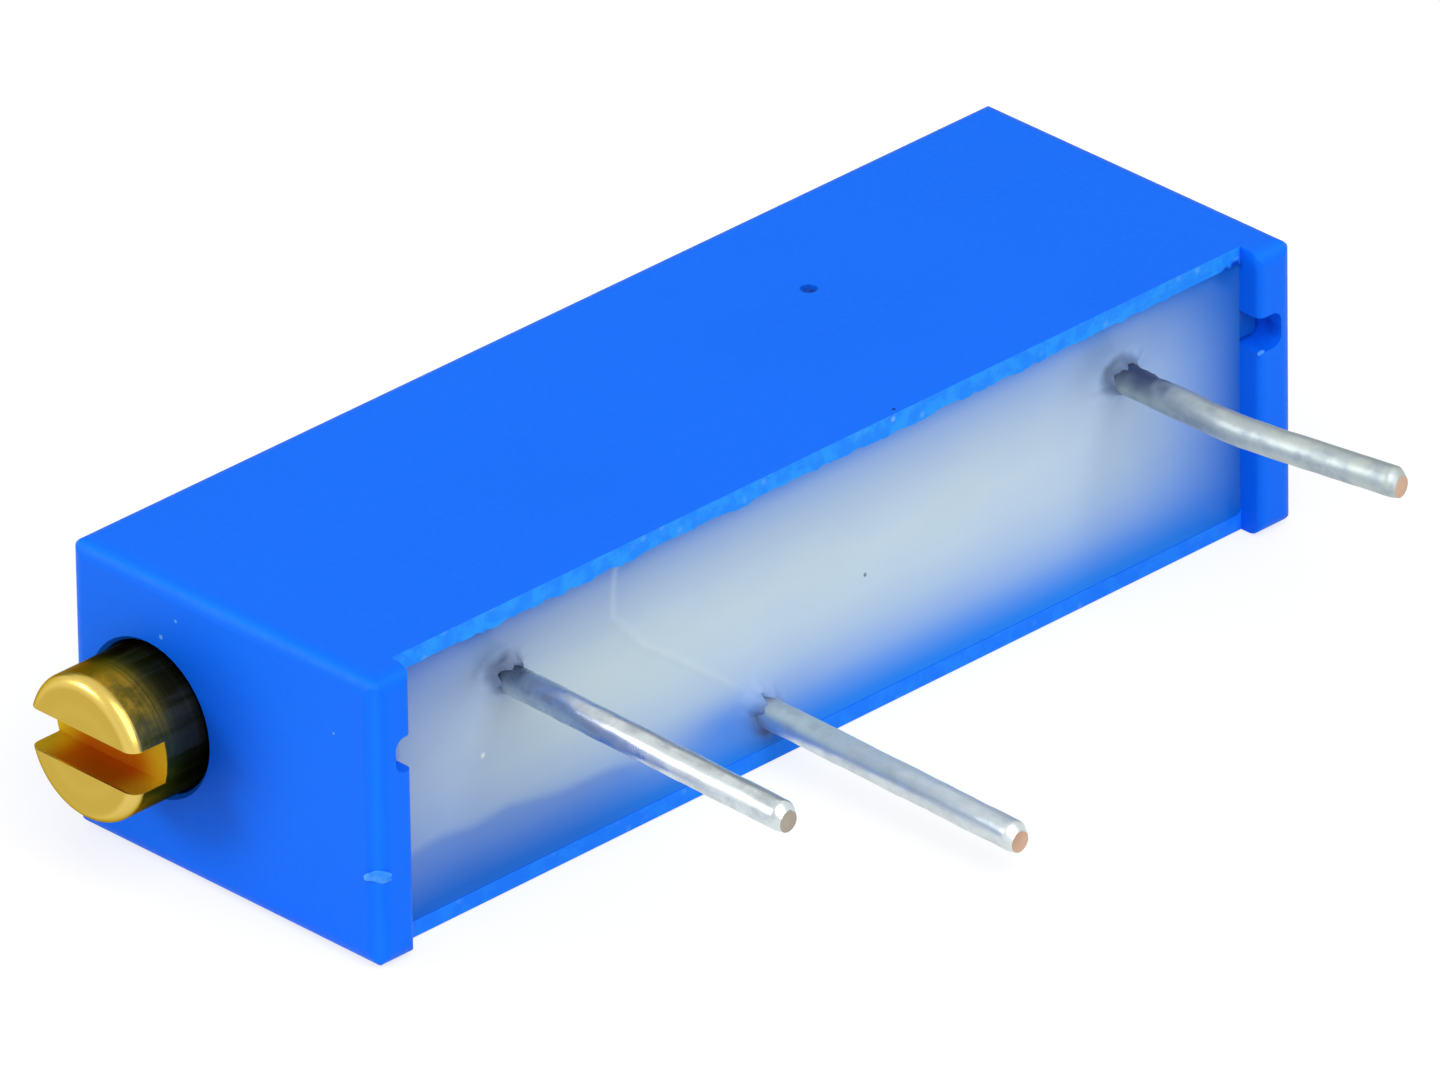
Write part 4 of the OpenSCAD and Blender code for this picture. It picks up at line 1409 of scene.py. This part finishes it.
@dataclass
class Terminals:
    """The three tinned wire pins and the solder at their roots, in millimetres."""

    finishes: FinishShelf
    radius: float = 0.24
    tips_y: float = -3.225
    root_y: float = -0.25
    resin_y: float = -2.5
    darkening_ring: float = 0.16
    darkening_softness: float = 0.3
    darkening_strength: float = 0.9
    darkening_scale: float = 5.0
    dipped: Fade = Fade(-2.0, -0.4)
    tip_clean: float = 0.12
    tip_length: float = 0.15
    tip_least: float = 0.15
    lump_y: float = -2.95
    lump_reach: float = 0.38
    bend_start: float = 1.2
    bend_r: float = 6.0
    bend_steps: int = 12
    shoulder: float = 0.15
    shoulder_knots: Knots = ((0.2, 0.05), (0.45, 0.3), (0.75, 0.65), (0.93, 0.88), (1.0, 1.0))
    cut_r: float = 0.17
    cut_slant: float = 0.75
    cut_depth: float = 0.002
    ring_vertices: int = 40
    step: float = 0.1
    tin: tuple[Lumps, ...] = (Lumps(0.6, 0.022), Lumps(0.16, 0.008))
    solder: Lumps = Lumps(0.2, 0.18)
    pins: tuple[Pin, ...] = (
        Pin("near_end_pin", -6.14, 3.35, 5.08, lean=1.0, tin="tinned_copper_wire",
            cut="cut_grey_copper", lumps=0.35, foot=0.45),
        Pin("wiper_pin", -1.06, 0.81, 4.72, lean=1.0, foot=0.2),
        Pin("far_end_pin", 6.56, 3.35, 4.6, bend=10.0, tin="matte_tinned_wire", lumps=1.0,
            foot=0.95),
    )

    def build(self) -> None:
        """Model the pins and dress the solder rings."""
        for pin in self.pins:
            self._wire(pin)
        for node in ("near_solder", "wiper_solder", "far_solder"):
            self.finishes.dress(node, "reflowed_solder")

    def _stations(self, pin: Pin) -> list[tuple[float, float]]:
        """Return the distances along a pin's straight run at which its ring is copied.

        Args:
            pin: The pin.

        Returns:
            Pairs of distance from the root and radius.
        """
        if pin.bend:
            return self._even(self.root_y - self.tips_y + self.bend_start)
        body_end = self.root_y - self.tips_y + pin.out - self.shoulder
        return self._even(body_end) + self._shoulder(body_end)

    def _even(self, length: float) -> list[tuple[float, float]]:
        """Return evenly spaced stations of the full radius up to a length."""
        count = round(length/self.step)
        return [(length*index/count, self.radius) for index in range(1, count + 1)]

    def _shoulder(self, start: float) -> list[tuple[float, float]]:
        """Return the stations of the slanting shoulder at the cut end.

        Args:
            start: The distance at which the shoulder starts.

        Returns:
            Pairs of distance and radius.
        """
        drop = self.radius - self.cut_r
        return [(start + self.shoulder*along, self.radius - drop*inward)
                for along, inward in self.shoulder_knots]

    def _run(self, stations: Sequence[tuple[float, float]], heading: Vector,
             radius: float, done: float, origin: Vector) -> None:
        """Extrude the selected ring through stations on a straight line.

        Args:
            stations: Pairs of distance and radius.
            heading: The unit direction of the run.
            radius: The ring's radius at the start.
            done: The distance at which the run starts.
            origin: The point of the run at distance 0.
        """
        for distance, next_radius in stations:
            move = heading*((distance - done)*MM)
            bpy.ops.mesh.extrude_region_move(TRANSFORM_OT_translate={"value": tuple(move)})
            if abs(next_radius - radius) > 1e-9:
                share = next_radius/radius
                low = Vector((0.0, 0.0, -self.cut_slant*self.radius))
                centre = (origin + heading*distance + low)*MM
                bpy.ops.transform.resize(value=(share,)*3, center_override=tuple(centre))
            radius, done = next_radius, distance

    def _wire(self, pin: Pin) -> None:
        """Model one pin by drawing a ring along its line.

        Args:
            pin: The pin.
        """
        lean = math.radians(pin.lean)
        heading = Vector((0.0, -math.cos(lean), -math.sin(lean)))
        root = Vector((pin.x, self.root_y, pin.z))
        deselect()
        bpy.ops.mesh.primitive_circle_add(
            vertices=self.ring_vertices, radius=self.radius*MM, fill_type="NGON",
            location=tuple(root*MM), rotation=(math.pi/2 + lean, 0.0, 0.0))
        wire = bpy.context.object
        settle(wire)
        start_edit(wire)
        bpy.ops.mesh.select_all(action="SELECT")
        self._run(self._stations(pin), heading, self.radius, 0.0, root)
        if pin.bend:
            heading = self._bend(pin, root, heading)
        end_edit()
        recalculate(wire)
        self._mark_cut(wire, heading)
        weigh(wire, "dipped", self._dip_weights(wire, pin))
        for layer in self.tin:
            roughen(wire, layer.size, layer.height, "dipped")
        if pin.lumps:
            weigh(wire, "lumps", self._lump_weights(wire, pin))
            roughen(wire, self.solder.size, self.solder.height, "lumps")
        self._paint_foot(wire, pin)
        smooth_by_angle(wire, 38)
        hand_over(wire, f"{pin.node}_wire", Body.CASE,
                  [self.finishes[pin.tin], self.finishes[pin.cut]], [pin.node])

    def _bend(self, pin: Pin, root: Vector, heading: Vector) -> Vector:
        """Carry the selected ring round the bend and out to the cut end.

        Args:
            pin: The pin.
            root: Its root in millimetres.
            heading: Its direction before the bend.

        Returns:
            Its direction after the bend.
        """
        straight = self.root_y - self.tips_y + self.bend_start
        corner = root + heading*straight
        pivot = corner + Vector((self.bend_r, 0.0, 0.0))
        rise = math.radians(pin.bend)
        turned = Matrix.Rotation(rise, 3, "Z")
        bpy.ops.mesh.spin(steps=self.bend_steps, angle=-rise, center=tuple(pivot*MM),
                          axis=(0.0, 0.0, 1.0))
        place = pivot + turned @ (corner - pivot)
        heading = turned @ heading
        end = (pin.out - self.bend_start - self.bend_r*math.sin(rise))/math.cos(rise)
        body_end = end - self.shoulder
        self._run(self._even(body_end) + self._shoulder(body_end), heading, self.radius, 0.0,
                  place)
        return heading

    def _mark_cut(self, wire: bpy.types.Object, heading: Vector) -> None:
        """Give the sheared end its own finish.

        Args:
            wire: The pin's object.
            heading: The direction of its outer end.
        """
        tip = max(vert.co.dot(heading) for vert in wire.data.vertices)
        for face in wire.data.polygons:
            at_tip = face.center.dot(heading) > tip - self.cut_depth*MM
            face.material_index = 1 if at_tip and face.normal.dot(heading) > 0.9 else 0

    def _upper(self, place: np.ndarray, pin: Pin, slope: float, level: float) -> np.ndarray:
        """Return a share that grows from a pin's lower side to its upper one.

        Args:
            place: The vertices' places.
            pin: The pin.
            slope: How much it grows over the pin's radius.
            level: The share at the height of the pin's axis.

        Returns:
            Shares from 0 to 1.
        """
        return np.clip((place[:, 2] - pin.z)/self.radius*slope + level, 0.0, 1.0)

    def _paint_foot(self, wire: bpy.types.Object, pin: Pin) -> None:
        """Paint where a pin's foot is darkened: dark flux and resin staining, and painted shade
        where the pin meets the resin.

        Args:
            wire: The pin's object.
            pin: The pin.
        """
        place = positions(wire)
        out = self.resin_y - place[:, 1]
        patchy = np.array([noise.noise(Vector(row)*self.darkening_scale) for row in place])
        ring = np.clip(1.2 - out/self.darkening_ring, 0.0, 1.0)
        streak = np.clip((pin.foot - out)/self.darkening_softness + 0.5 + patchy, 0.0, 1.0)
        streak *= self._upper(place, pin, 0.9, 0.15)
        darkening = np.maximum(ring, streak)*self.darkening_strength
        paint(wire, "foot", np.clip(darkening, 0.0, 1.0))

    def _dip_weights(self, wire: bpy.types.Object, pin: Pin) -> np.ndarray:
        """Return how far the tin's unevenness shows at each vertex.

        Args:
            wire: The pin's object.
            pin: The pin.

        Returns:
            Weights from 0 to 1.
        """
        y = positions(wire)[:, 1]
        clean_y = self.tips_y - pin.out + self.tip_clean
        return self.dipped.at(y)*np.clip((y - clean_y)/self.tip_length, self.tip_least, 1.0)

    def _lump_weights(self, wire: bpy.types.Object, pin: Pin) -> np.ndarray:
        """Return where solder or resin lumps sit at a pin's foot.

        Args:
            wire: The pin's object.
            pin: The pin.

        Returns:
            Weights from 0 to 1.
        """
        place = positions(wire)
        along = np.exp(-((place[:, 1] - self.lump_y)/self.lump_reach)**2)
        return pin.lumps*along*self._upper(place, pin, 0.8, 0.25)


@dataclass(frozen=True)
class FootDarkening:
    """A dark patch in the resin's face at a pin's foot, resin staining and painted shade: its
    place, size and strength, in millimetres.
    """

    x: float
    z: float
    core: float
    reach: float
    strength: float
    patchy: float = 0.6


@dataclass(frozen=True)
class Swell:
    """A soft rise of the resin's face or tone: its height and how far it reaches."""

    height: float
    reach: float

    def against(self, away: np.ndarray) -> np.ndarray:
        """Return the height at distances from something that the resin climbs."""
        return self.height*np.exp(-away/self.reach)

    def along(self, away: np.ndarray) -> np.ndarray:
        """Return the height at distances from the line that the ridge follows."""
        return self.height*np.exp(-(away/self.reach)**2)


@dataclass(frozen=True)
class Patch:
    """A soft oval patch of the resin's face: its middle, reach and strength."""

    x: float
    z: float
    reach_x: float
    reach_z: float
    strength: float = 1.0

    def at(self, x: np.ndarray, z: np.ndarray) -> np.ndarray:
        """Return the patch's value at the given places."""
        return self.strength*np.exp(-(((x - self.x)/self.reach_x)**2
                                      + ((z - self.z)/self.reach_z)**2))


@dataclass(frozen=True)
class Notch:
    """The resin in a standoff's notch: its ends along the body, its face and milkiness."""

    name: str
    start: float
    end: float
    face_y: float
    milk: float


@dataclass
class Seal:
    """The sealing resin, poured round the pins into the open side of the case.

    Lengths and places are in millimetres. In a table of knots the first number is the
    distance from a wall or the place along the body. Fades that start at 0 count from the
    nearest wall or from the ridge.
    """

    finishes: FinishShelf
    half_l: float = 8.785
    low_z: float = 0.27
    high_z: float = 4.53
    rim_y: float = -2.755
    bottom_y: float = -1.09
    cell: float = 0.05
    pin_r: float = 0.24
    sag: float = 0.42
    sag_start: Fade = Fade(0.0, 1.5)
    ripple: float = 0.025
    ripple_start: Fade = Fade(0.0, 0.6)
    wall_climb: Swell = Swell(0.035, 0.07)
    pin_climb: Swell = Swell(0.24, 0.09)
    crest: Swell = Swell(0.018, 0.07)
    crest_start: Fade = Fade(0.0, 0.3)
    crest_end: Fade = Fade(1.15, 0.25)
    crest_light: Swell = Swell(1.0, 0.05)
    crust: Swell = Swell(0.03, 0.1)
    crust_start: Fade = Fade(-8.0, 0.6)
    crust_end: Fade = Fade(-3.4, -0.5)
    crust_softness: float = 0.14
    dimple: Patch = Patch(-6.47, 3.5, 0.3, 0.26, 0.1)
    # Patches of painted shade, where less milk lets the blue show darker: the far upper corner and
    # below the wiper pin.
    shade_patches: tuple[Patch, ...] = (Patch(8.785, 4.53, 0.9, 0.9, 0.9),
                                       Patch(-1.75, 0.8, 0.8, 0.3, 0.55))
    # Painted shade in the far upper corner, on the blue behind the resin.
    corner_shade: Patch = Patch(8.62, 4.42, 0.2, 0.14)
    blue_zone: Fade = Fade(-3.1, -0.8)
    blue_share: float = 0.42
    beyond_ridge: Fade = Fade(0.0, -0.1)
    beyond_share: float = 0.12
    far_shade: Swell = Swell(1.0, 0.9)
    milk_low: Knots = (
        (0.0, 0.0), (0.08, 0.02), (0.33, 0.18), (0.63, 0.46), (1.03, 0.73), (1.53, 0.92),
        (2.1, 1.0))
    milk_high: Knots = (
        (0.0, 0.12), (0.13, 0.22), (0.43, 0.5), (0.93, 0.73), (1.53, 0.92), (2.1, 1.0))
    milk_far: Knots = (
        (0.0, 0.0), (0.19, 0.11), (0.6, 0.33), (1.2, 0.59), (2.0, 0.82), (3.5, 0.97),
        (5.0, 1.0))
    milk_near: Knots = (
        (0.0, 0.46), (0.6, 0.55), (1.4, 0.66), (2.6, 0.85), (3.8, 0.97), (5.5, 1.0))
    first_pour: Knots = (
        (-8.8, 1.0), (-7.4, 0.95), (-5.0, 0.75), (-2.6, 0.3), (-0.2, 0.1), (1.5, 0.0))
    crust_line: Knots = (
        (-7.5, 1.2), (-6.9, 1.13), (-6.2, 1.2), (-5.2, 1.02), (-4.1, 1.0), (-3.4, 0.85))
    notches: tuple[Notch, ...] = (Notch("near_notch_resin", -9.1, -8.72, -2.955, 0.4),
                                  Notch("far_notch_resin", 8.72, 9.22, -2.755, 0.0))
    notch_foot_y: float = -2.42
    notch_z: float = 3.42
    notch_w: float = 0.56
    notch_bevel: float = 0.1
    pins: tuple[tuple[float, float], ...] = ((-6.14, 3.35), (-1.06, 0.81), (6.56, 3.35))
    # Dark patches at the pins' feet: staining and painted shade round each pin.
    foot_darkenings: tuple[FootDarkening, ...] = (
        FootDarkening(-6.2, 3.45, 0.24, 0.12, 0.75), FootDarkening(-6.5, 3.65, 0.1, 0.5, 0.2, 0.3),
        FootDarkening(-1.1, 0.71, 0.24, 0.09, 0.8, 0.3), FootDarkening(-1.3, 0.55, 0.1, 0.3, 0.22, 0.5),
        FootDarkening(6.5, 3.43, 0.24, 0.1, 0.9, 0.15), FootDarkening(6.05, 3.72, 0.1, 0.5, 0.2, 0.3))
    ridge: tuple[tuple[float, float], ...] = (
        (-4.15, 4.4), (-4.08, 4.1), (-3.93, 3.4), (-3.22, 2.62), (-2.34, 1.95), (-1.74, 1.49),
        (-1.3, 1.15))

    def build(self) -> None:
        """Model the resin and the bits that ran into the standoffs' notches."""
        self._pour()
        for notch in self.notches:
            self._notch_fill(notch)

    def _pour(self) -> None:
        """Model the resin as a slab whose outer face sags, climbs and ripples."""
        length, width = 2*self.half_l, self.high_z - self.low_z
        deselect()
        bpy.ops.mesh.primitive_grid_add(
            x_subdivisions=round(length/self.cell), y_subdivisions=round(width/self.cell),
            size=1.0, rotation=(math.pi/2, 0.0, 0.0),
            location=(0.0, self.rim_y*MM, (self.low_z + width/2)*MM))
        slab = bpy.context.object
        settle(slab, (length*MM, width*MM, 1.0))
        start_edit(slab, "EDGE")
        bpy.ops.mesh.select_non_manifold(extend=False, use_boundary=True)
        bpy.ops.mesh.extrude_edges_move(TRANSFORM_OT_translate={
            "value": (0.0, (self.bottom_y - self.rim_y)*MM, 0.0)})
        bpy.ops.mesh.edge_face_add()
        end_edit()
        recalculate(slab)
        place = positions(slab)
        top = place[:, 1] < self.rim_y + 1e-4
        x, z = place[:, 0], place[:, 2]
        depth = np.where(top, self._depth(x, z), 0.0)
        low, high = depth.min(), depth.max()
        weigh(slab, "sag", np.clip(depth/high, 0.0, 1.0))
        weigh(slab, "rise", np.clip(depth/low, 0.0, 1.0))
        add_modifier(slab, "DISPLACE", direction="Y", mid_level=0.0, strength=high*MM,
                     vertex_group="sag")
        add_modifier(slab, "DISPLACE", direction="Y", mid_level=0.0, strength=low*MM,
                     vertex_group="rise")
        self._tint(slab, x, z)
        smooth_by_angle(slab, 60)
        hand_over(slab, "sealing_resin", Body.CASE,
                  [self.finishes["sealing_resin"]], ["epoxy_seal"])

    def _walls(self, x: np.ndarray, z: np.ndarray) -> tuple[np.ndarray, ...]:
        """Return the distances to the near, far, lower and upper wall."""
        return x + self.half_l, self.half_l - x, z - self.low_z, self.high_z - z

    def _ridge_side(self, x: np.ndarray, z: np.ndarray) -> np.ndarray:
        """Return how far each point lies beyond the ridge along X.

        Args:
            x: The points' places along the body.
            z: The points' places across it.

        Returns:
            The signed distances in millimetres.
        """
        line = sorted(self.ridge, key=lambda point: point[1])
        return x - np.interp(z, [point[1] for point in line], [point[0] for point in line])

    def _depth(self, x: np.ndarray, z: np.ndarray) -> np.ndarray:
        """Return how far the resin's face lies below its rim.

        Args:
            x: The points' places along the body.
            z: The points' places across it.

        Returns:
            The depths in millimetres, below 0 where it climbs.
        """
        near, far, low, high = self._walls(x, z)
        across = np.clip(low*high/(low + high)**2*4.0, 0.0, 1.0)
        ends = self.sag_start.at(np.minimum(near, far))
        depth = self.sag*across*(1.0 - (1.0 - ends)**2)
        wall = np.minimum(np.minimum(near, far), np.minimum(low, high))
        depth -= self.wall_climb.against(wall)
        ripple = sheet_noise(x, z, (0.7, 0.9), 3.1)
        depth += self.ripple*ripple*self.ripple_start.at(wall)
        crest = self.crest.along(self._ridge_side(x, z))
        depth -= crest*self.crest_start.at(wall)*self.crest_end.at(z)
        crust = self.crust.along(z - read_table(x, self.crust_line))
        depth -= crust*self.crust_start.at(x)*self.crust_end.at(x)
        lumps = sheet_noise(x, z, (8.0, 8.0), 1.7)
        for px, pz in self.pins:
            away = np.clip(np.hypot(x - px, z - pz) - self.pin_r, 0.0, None)
            depth -= self.pin_climb.against(away)*(1.0 + lumps)
        return depth + self.dimple.at(x, z)

    def _tint(self, slab: bpy.types.Object, x: np.ndarray, z: np.ndarray) -> None:
        """Paint how milky, grey, shaded, ridged and dark the resin looks at each vertex.

        Args:
            slab: The resin's object.
            x: Its vertices' places along the body.
            z: Its vertices' places across it.
        """
        side = self._ridge_side(x, z)
        poured = read_table(x, self.first_pour)
        beyond = self.beyond_share*self.beyond_ridge.at(side)
        # The shaded blue behind the resin: painted shade towards the far wall and in the far upper
        # corner, and darker over the first pour.
        shade = np.maximum(poured, self.far_shade.against(self.half_l - x))
        paint(slab, "milk", np.clip(self._milk(x, z), 0.0, 1.0))
        paint(slab, "first_pour", np.clip(poured + beyond, 0.0, 1.0))
        paint(slab, "shade", np.clip(shade + self.corner_shade.at(x, z), 0.0, 1.0))
        paint(slab, "crest", self.crest_light.along(side)*self.crest_end.at(z))
        paint(slab, "dark", np.clip(self._darkness(x, z), 0.0, 1.0))

    def _milk(self, x: np.ndarray, z: np.ndarray) -> np.ndarray:
        """Return how milky the resin is, less near the walls and where painted shade lets the blue
        show through.

        Args:
            x: The points' places along the body.
            z: The points' places across it.

        Returns:
            One share a point, from 0 to 1.
        """
        near, far, low, high = self._walls(x, z)
        milk = read_table(low, self.milk_low)*read_table(high, self.milk_high)
        milk = milk*read_table(near, self.milk_near)*read_table(far, self.milk_far)
        above = z - read_table(x, self.crust_line)
        past = np.clip(above/self.crust_softness + 0.5, 0.0, 1.0)
        milk *= 1.0 - self.blue_share*self.blue_zone.at(x)*(1.0 - past)
        for patch in self.shade_patches:
            milk *= 1.0 - patch.at(x, z)
        return milk

    def _darkness(self, x: np.ndarray, z: np.ndarray) -> np.ndarray:
        """Return how dark the resin is at the pins' feet, from staining and painted shade.

        Args:
            x: The points' places along the body.
            z: The points' places across it.

        Returns:
            One share a point, from 0 up.
        """
        dark = np.zeros_like(x)
        mottle = sheet_noise(x, z, (4.0, 4.0), 8.3)
        for darkening in self.foot_darkenings:
            away = np.hypot(x - darkening.x, z - darkening.z)
            soft = darkening.strength*np.exp(-(np.clip(away - darkening.core, 0.0, None)/darkening.reach)**2)
            dark = np.maximum(dark, soft*np.clip(0.85 + darkening.patchy*mottle, 0.0, 1.2))
        return dark

    def _notch_fill(self, notch: Notch) -> None:
        """Model the resin that ran into a standoff's notch.

        Args:
            notch: The notch.
        """
        foot = self.notch_foot_y
        deselect()
        bpy.ops.mesh.primitive_cube_add(
            size=1.0, location=((notch.start + notch.end)/2*MM, (notch.face_y + foot)/2*MM,
                                self.notch_z*MM))
        plug = bpy.context.object
        settle(plug, ((notch.end - notch.start)*MM, (foot - notch.face_y)*MM, self.notch_w*MM))
        start_edit(plug, "EDGE")
        bpy.ops.mesh.select_all(action="SELECT")
        bpy.ops.mesh.bevel(offset=self.notch_bevel*MM, segments=5, affect="EDGES")
        end_edit()
        add_modifier(plug, "SUBSURF", levels=1, render_levels=1)
        roughen(plug, 0.3, 0.02)
        count = len(plug.data.vertices)
        for reading, value in (("milk", notch.milk), ("first_pour", 1.0), ("shade", 1.0),
                               ("crest", 0.0), ("dark", 0.0)):
            paint(plug, reading, np.full(count, value))
        smooth_by_angle(plug, 60)
        hand_over(plug, notch.name, Body.CASE, [self.finishes["sealing_resin"]])


@dataclass
class LeadScrew:
    """The brass lead screw with its sealing ring and retaining clip."""

    finishes: FinishShelf

    def build(self) -> None:
        """Dress the screw's solids."""
        self.finishes.dress("adjustment_screw", "turned_brass")
        self.finishes.dress("sealing_ring", "moulded_seal_rubber")
        self.finishes.dress("retaining_clip", "stamped_clip_steel")


@dataclass
class WiperCarriage:
    """The nylon carriage with its contact spring and brushes."""

    finishes: FinishShelf

    def build(self) -> None:
        """Dress the carriage's solids."""
        self.finishes.dress("carriage", "moulded_nylon")
        self.finishes.dress("contact_spring", "rolled_spring_bronze")
        self.finishes.dress("resistive_brush", "brush_wire_alloy")
        self.finishes.dress("collector_brush", "brush_wire_alloy")


@dataclass
class Element:
    """The ceramic plate with its printed films."""

    finishes: FinishShelf

    def build(self) -> None:
        """Dress the element's solids."""
        self.finishes.dress("ceramic_plate", "fired_ceramic")
        self.finishes.dress("resistive_track", "fired_resistive_film")
        for node in ("collector_track", "near_end_pad", "far_end_pad"):
            self.finishes.dress(node, "fired_silver_film")


# ---------------------------------------------------------------- studio

@dataclass(frozen=True)
class Lamp:
    """A soft box: its place and size in millimetres and its power in watts."""

    label: str
    place: Point
    size: tuple[float, float]
    power: float


@dataclass(frozen=True)
class Card:
    """A dark card: its place and size in millimetres."""

    label: str
    place: Point
    size: tuple[float, float]


@dataclass
class Studio:
    """Camera, lamps, floor, cards and world."""

    camera_place: Point = (-246.20139825, -254.21364392, 196.51775237)
    right: Point = (0.7122282965, -0.7018196060, -0.0134199253)
    down: Point = (-0.3462249564, -0.3346006135, -0.8764534836)
    forward: Point = (0.6106219233, 0.6288812846, -0.4812994875)
    focal_pixels: float = 27276.45
    frame_pixels: int = 1440
    sensor: float = 36.0
    clip: tuple[float, float] = (0.01, 20.0)
    room_light: float = 0.5
    floor_size: float = 12.0
    floor_gap: float = 0.02
    floor_tone: float = 0.8
    shadow_share: float = 0.36
    glow_range: tuple[float, float] = (0.03, 0.4)
    glow: tuple[float, float] = (0.72, 0.84)
    card_tone: Colour = (0.26, 0.28, 0.31, 1.0)
    lamps: tuple[Lamp, ...] = (
        Lamp("key_box", (-50.0, -180.0, 190.0), (270.0, 270.0), 0.49),
        Lamp("side_box", (-200.0, 150.0, 110.0), (90.0, 90.0), 0.24),
    )
    cards: tuple[Card, ...] = (
        Card("dark_card_0", (300.0, 320.0, 150.0), (700.0, 300.0)),
        Card("dark_card_1", (260.0, -300.0, 60.0), (300.0, 160.0)),
    )

    def build(self) -> None:
        """Set up the whole studio."""
        self._camera()
        for lamp in self.lamps:
            self._lamp(lamp)
        self._floor()
        dark = self._card_finish()
        for card in self.cards:
            self._card(card, dark)
        self._world()

    def _camera(self) -> None:
        """Place the camera where the photograph was taken from."""
        data = bpy.data.cameras.new("photo_camera")
        data.sensor_width = self.sensor
        data.sensor_fit = "HORIZONTAL"
        data.lens = self.sensor*self.focal_pixels/self.frame_pixels
        data.clip_start, data.clip_end = self.clip
        camera = bpy.data.objects.new("photo_camera", data)
        bpy.context.scene.collection.objects.link(camera)
        turn = Matrix((self.right, [-v for v in self.down], [-v for v in self.forward]))
        place = Matrix.Translation(Vector(self.camera_place)*MM)
        camera.matrix_world = place @ turn.transposed().to_4x4()
        bpy.context.scene.camera = camera
        LOG.info("camera: %.1f mm lens", data.lens)

    @staticmethod
    def _lamp(lamp: Lamp) -> None:
        """Add one soft box that faces the object.

        Args:
            lamp: The lamp.
        """
        data = bpy.data.lights.new(lamp.label, "AREA")
        data.shape = "RECTANGLE"
        data.size, data.size_y = lamp.size[0]*MM, lamp.size[1]*MM
        data.energy = lamp.power
        obj = bpy.data.objects.new(lamp.label, data)
        obj.location = Vector(lamp.place)*MM
        obj.rotation_euler = (-Vector(lamp.place)).to_track_quat("-Z", "Y").to_euler()
        bpy.context.scene.collection.objects.link(obj)
        LOG.info("lamp %s: %.2f W", lamp.label, lamp.power)

    def _floor(self) -> None:
        """Lay the pale floor, which glows a little for the camera and keeps the shadow."""
        deselect()
        bpy.ops.mesh.primitive_plane_add(size=self.floor_size,
                                         location=(0.0, 0.0, -self.floor_gap*MM))
        floor = bpy.context.object
        floor.name = "pale_floor"
        material, wiring = blank_material("pale_floor")
        plain = wiring.add("ShaderNodeBsdfDiffuse", {"Color": (*(self.floor_tone,)*3, 1.0)})
        part = wiring.add("ShaderNodeBsdfDiffuse", {"Color": (*(self.shadow_share,)*3, 1.0)})
        away = wiring.add("ShaderNodeVectorMath", {
            0: wiring.add("ShaderNodeTexCoord").outputs["Object"]}, operation="LENGTH")
        glow = wiring.add("ShaderNodeEmission", {
            "Color": WHITE,
            "Strength": wiring.ramp(away.outputs["Value"], *self.glow_range, *self.glow)})
        seen = wiring.add("ShaderNodeAddShader", {0: part.outputs[0], 1: glow.outputs[0]})
        both = wiring.add("ShaderNodeMixShader", {
            0: wiring.straight_rays(), 1: plain.outputs[0], 2: seen.outputs[0]})
        wiring.add("ShaderNodeOutputMaterial", {"Surface": both.outputs[0]})
        floor.data.materials.append(material)

    def _card_finish(self) -> bpy.types.Material:
        """Build the cards' finish, a dark even glow.

        Returns:
            The material.
        """
        material, wiring = blank_material("dark_card")
        dark = wiring.add("ShaderNodeEmission", {"Color": self.card_tone})
        wiring.add("ShaderNodeOutputMaterial", {"Surface": dark.outputs[0]})
        return material

    @staticmethod
    def _card(card: Card, finish: bpy.types.Material) -> None:
        """Stand a card beside the object that only reflections show.

        Args:
            card: The card.
            finish: Its finish.
        """
        deselect()
        middle = Vector(card.place)*MM
        turn = middle.to_track_quat("Z", "Y").to_euler()
        bpy.ops.mesh.primitive_plane_add(size=1.0, location=tuple(middle), rotation=turn)
        sheet = bpy.context.object
        settle(sheet, (card.size[0]*MM, card.size[1]*MM, 1.0))
        sheet.name = card.label
        sheet.data.materials.append(finish)
        sheet.visible_camera = False
        sheet.visible_diffuse = False
        sheet.visible_transmission = False
        sheet.visible_shadow = False

    def _world(self) -> None:
        """Make the world white to look at and a plain even light otherwise."""
        world = bpy.data.worlds.new("studio_room")
        bpy.context.scene.world = world
        world.use_nodes = True
        world.node_tree.nodes.clear()
        wiring = Wiring(world.node_tree)
        room = wiring.add("ShaderNodeBackground", {"Color": WHITE, "Strength": self.room_light})
        seen = wiring.add("ShaderNodeBackground", {"Color": WHITE, "Strength": 1.0})
        both = wiring.add("ShaderNodeMixShader", {
            0: wiring.straight_rays(), 1: room.outputs[0], 2: seen.outputs[0]})
        wiring.add("ShaderNodeOutputWorld", {"Surface": both.outputs[0]})


def clear_defaults() -> None:
    """Remove the objects that an empty Blender file starts with."""
    for name in ("Cube", "Light", "Camera"):
        default = bpy.data.objects.get(name)
        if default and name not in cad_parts:
            bpy.data.objects.remove(default, do_unlink=True)


def main() -> None:
    """Build every sub-assembly in order and set up the studio."""
    logging.basicConfig(level=logging.INFO, format="%(name)s: %(message)s")
    clear_defaults()
    bpy.context.scene.view_settings.view_transform = "Standard"
    finishes = FinishShelf()
    for part in (Case, Seal, Terminals, LeadScrew, WiperCarriage, Element):
        part(finishes).build()
    Studio().build()
    deselect()


if __name__ == "__main__":
    main()
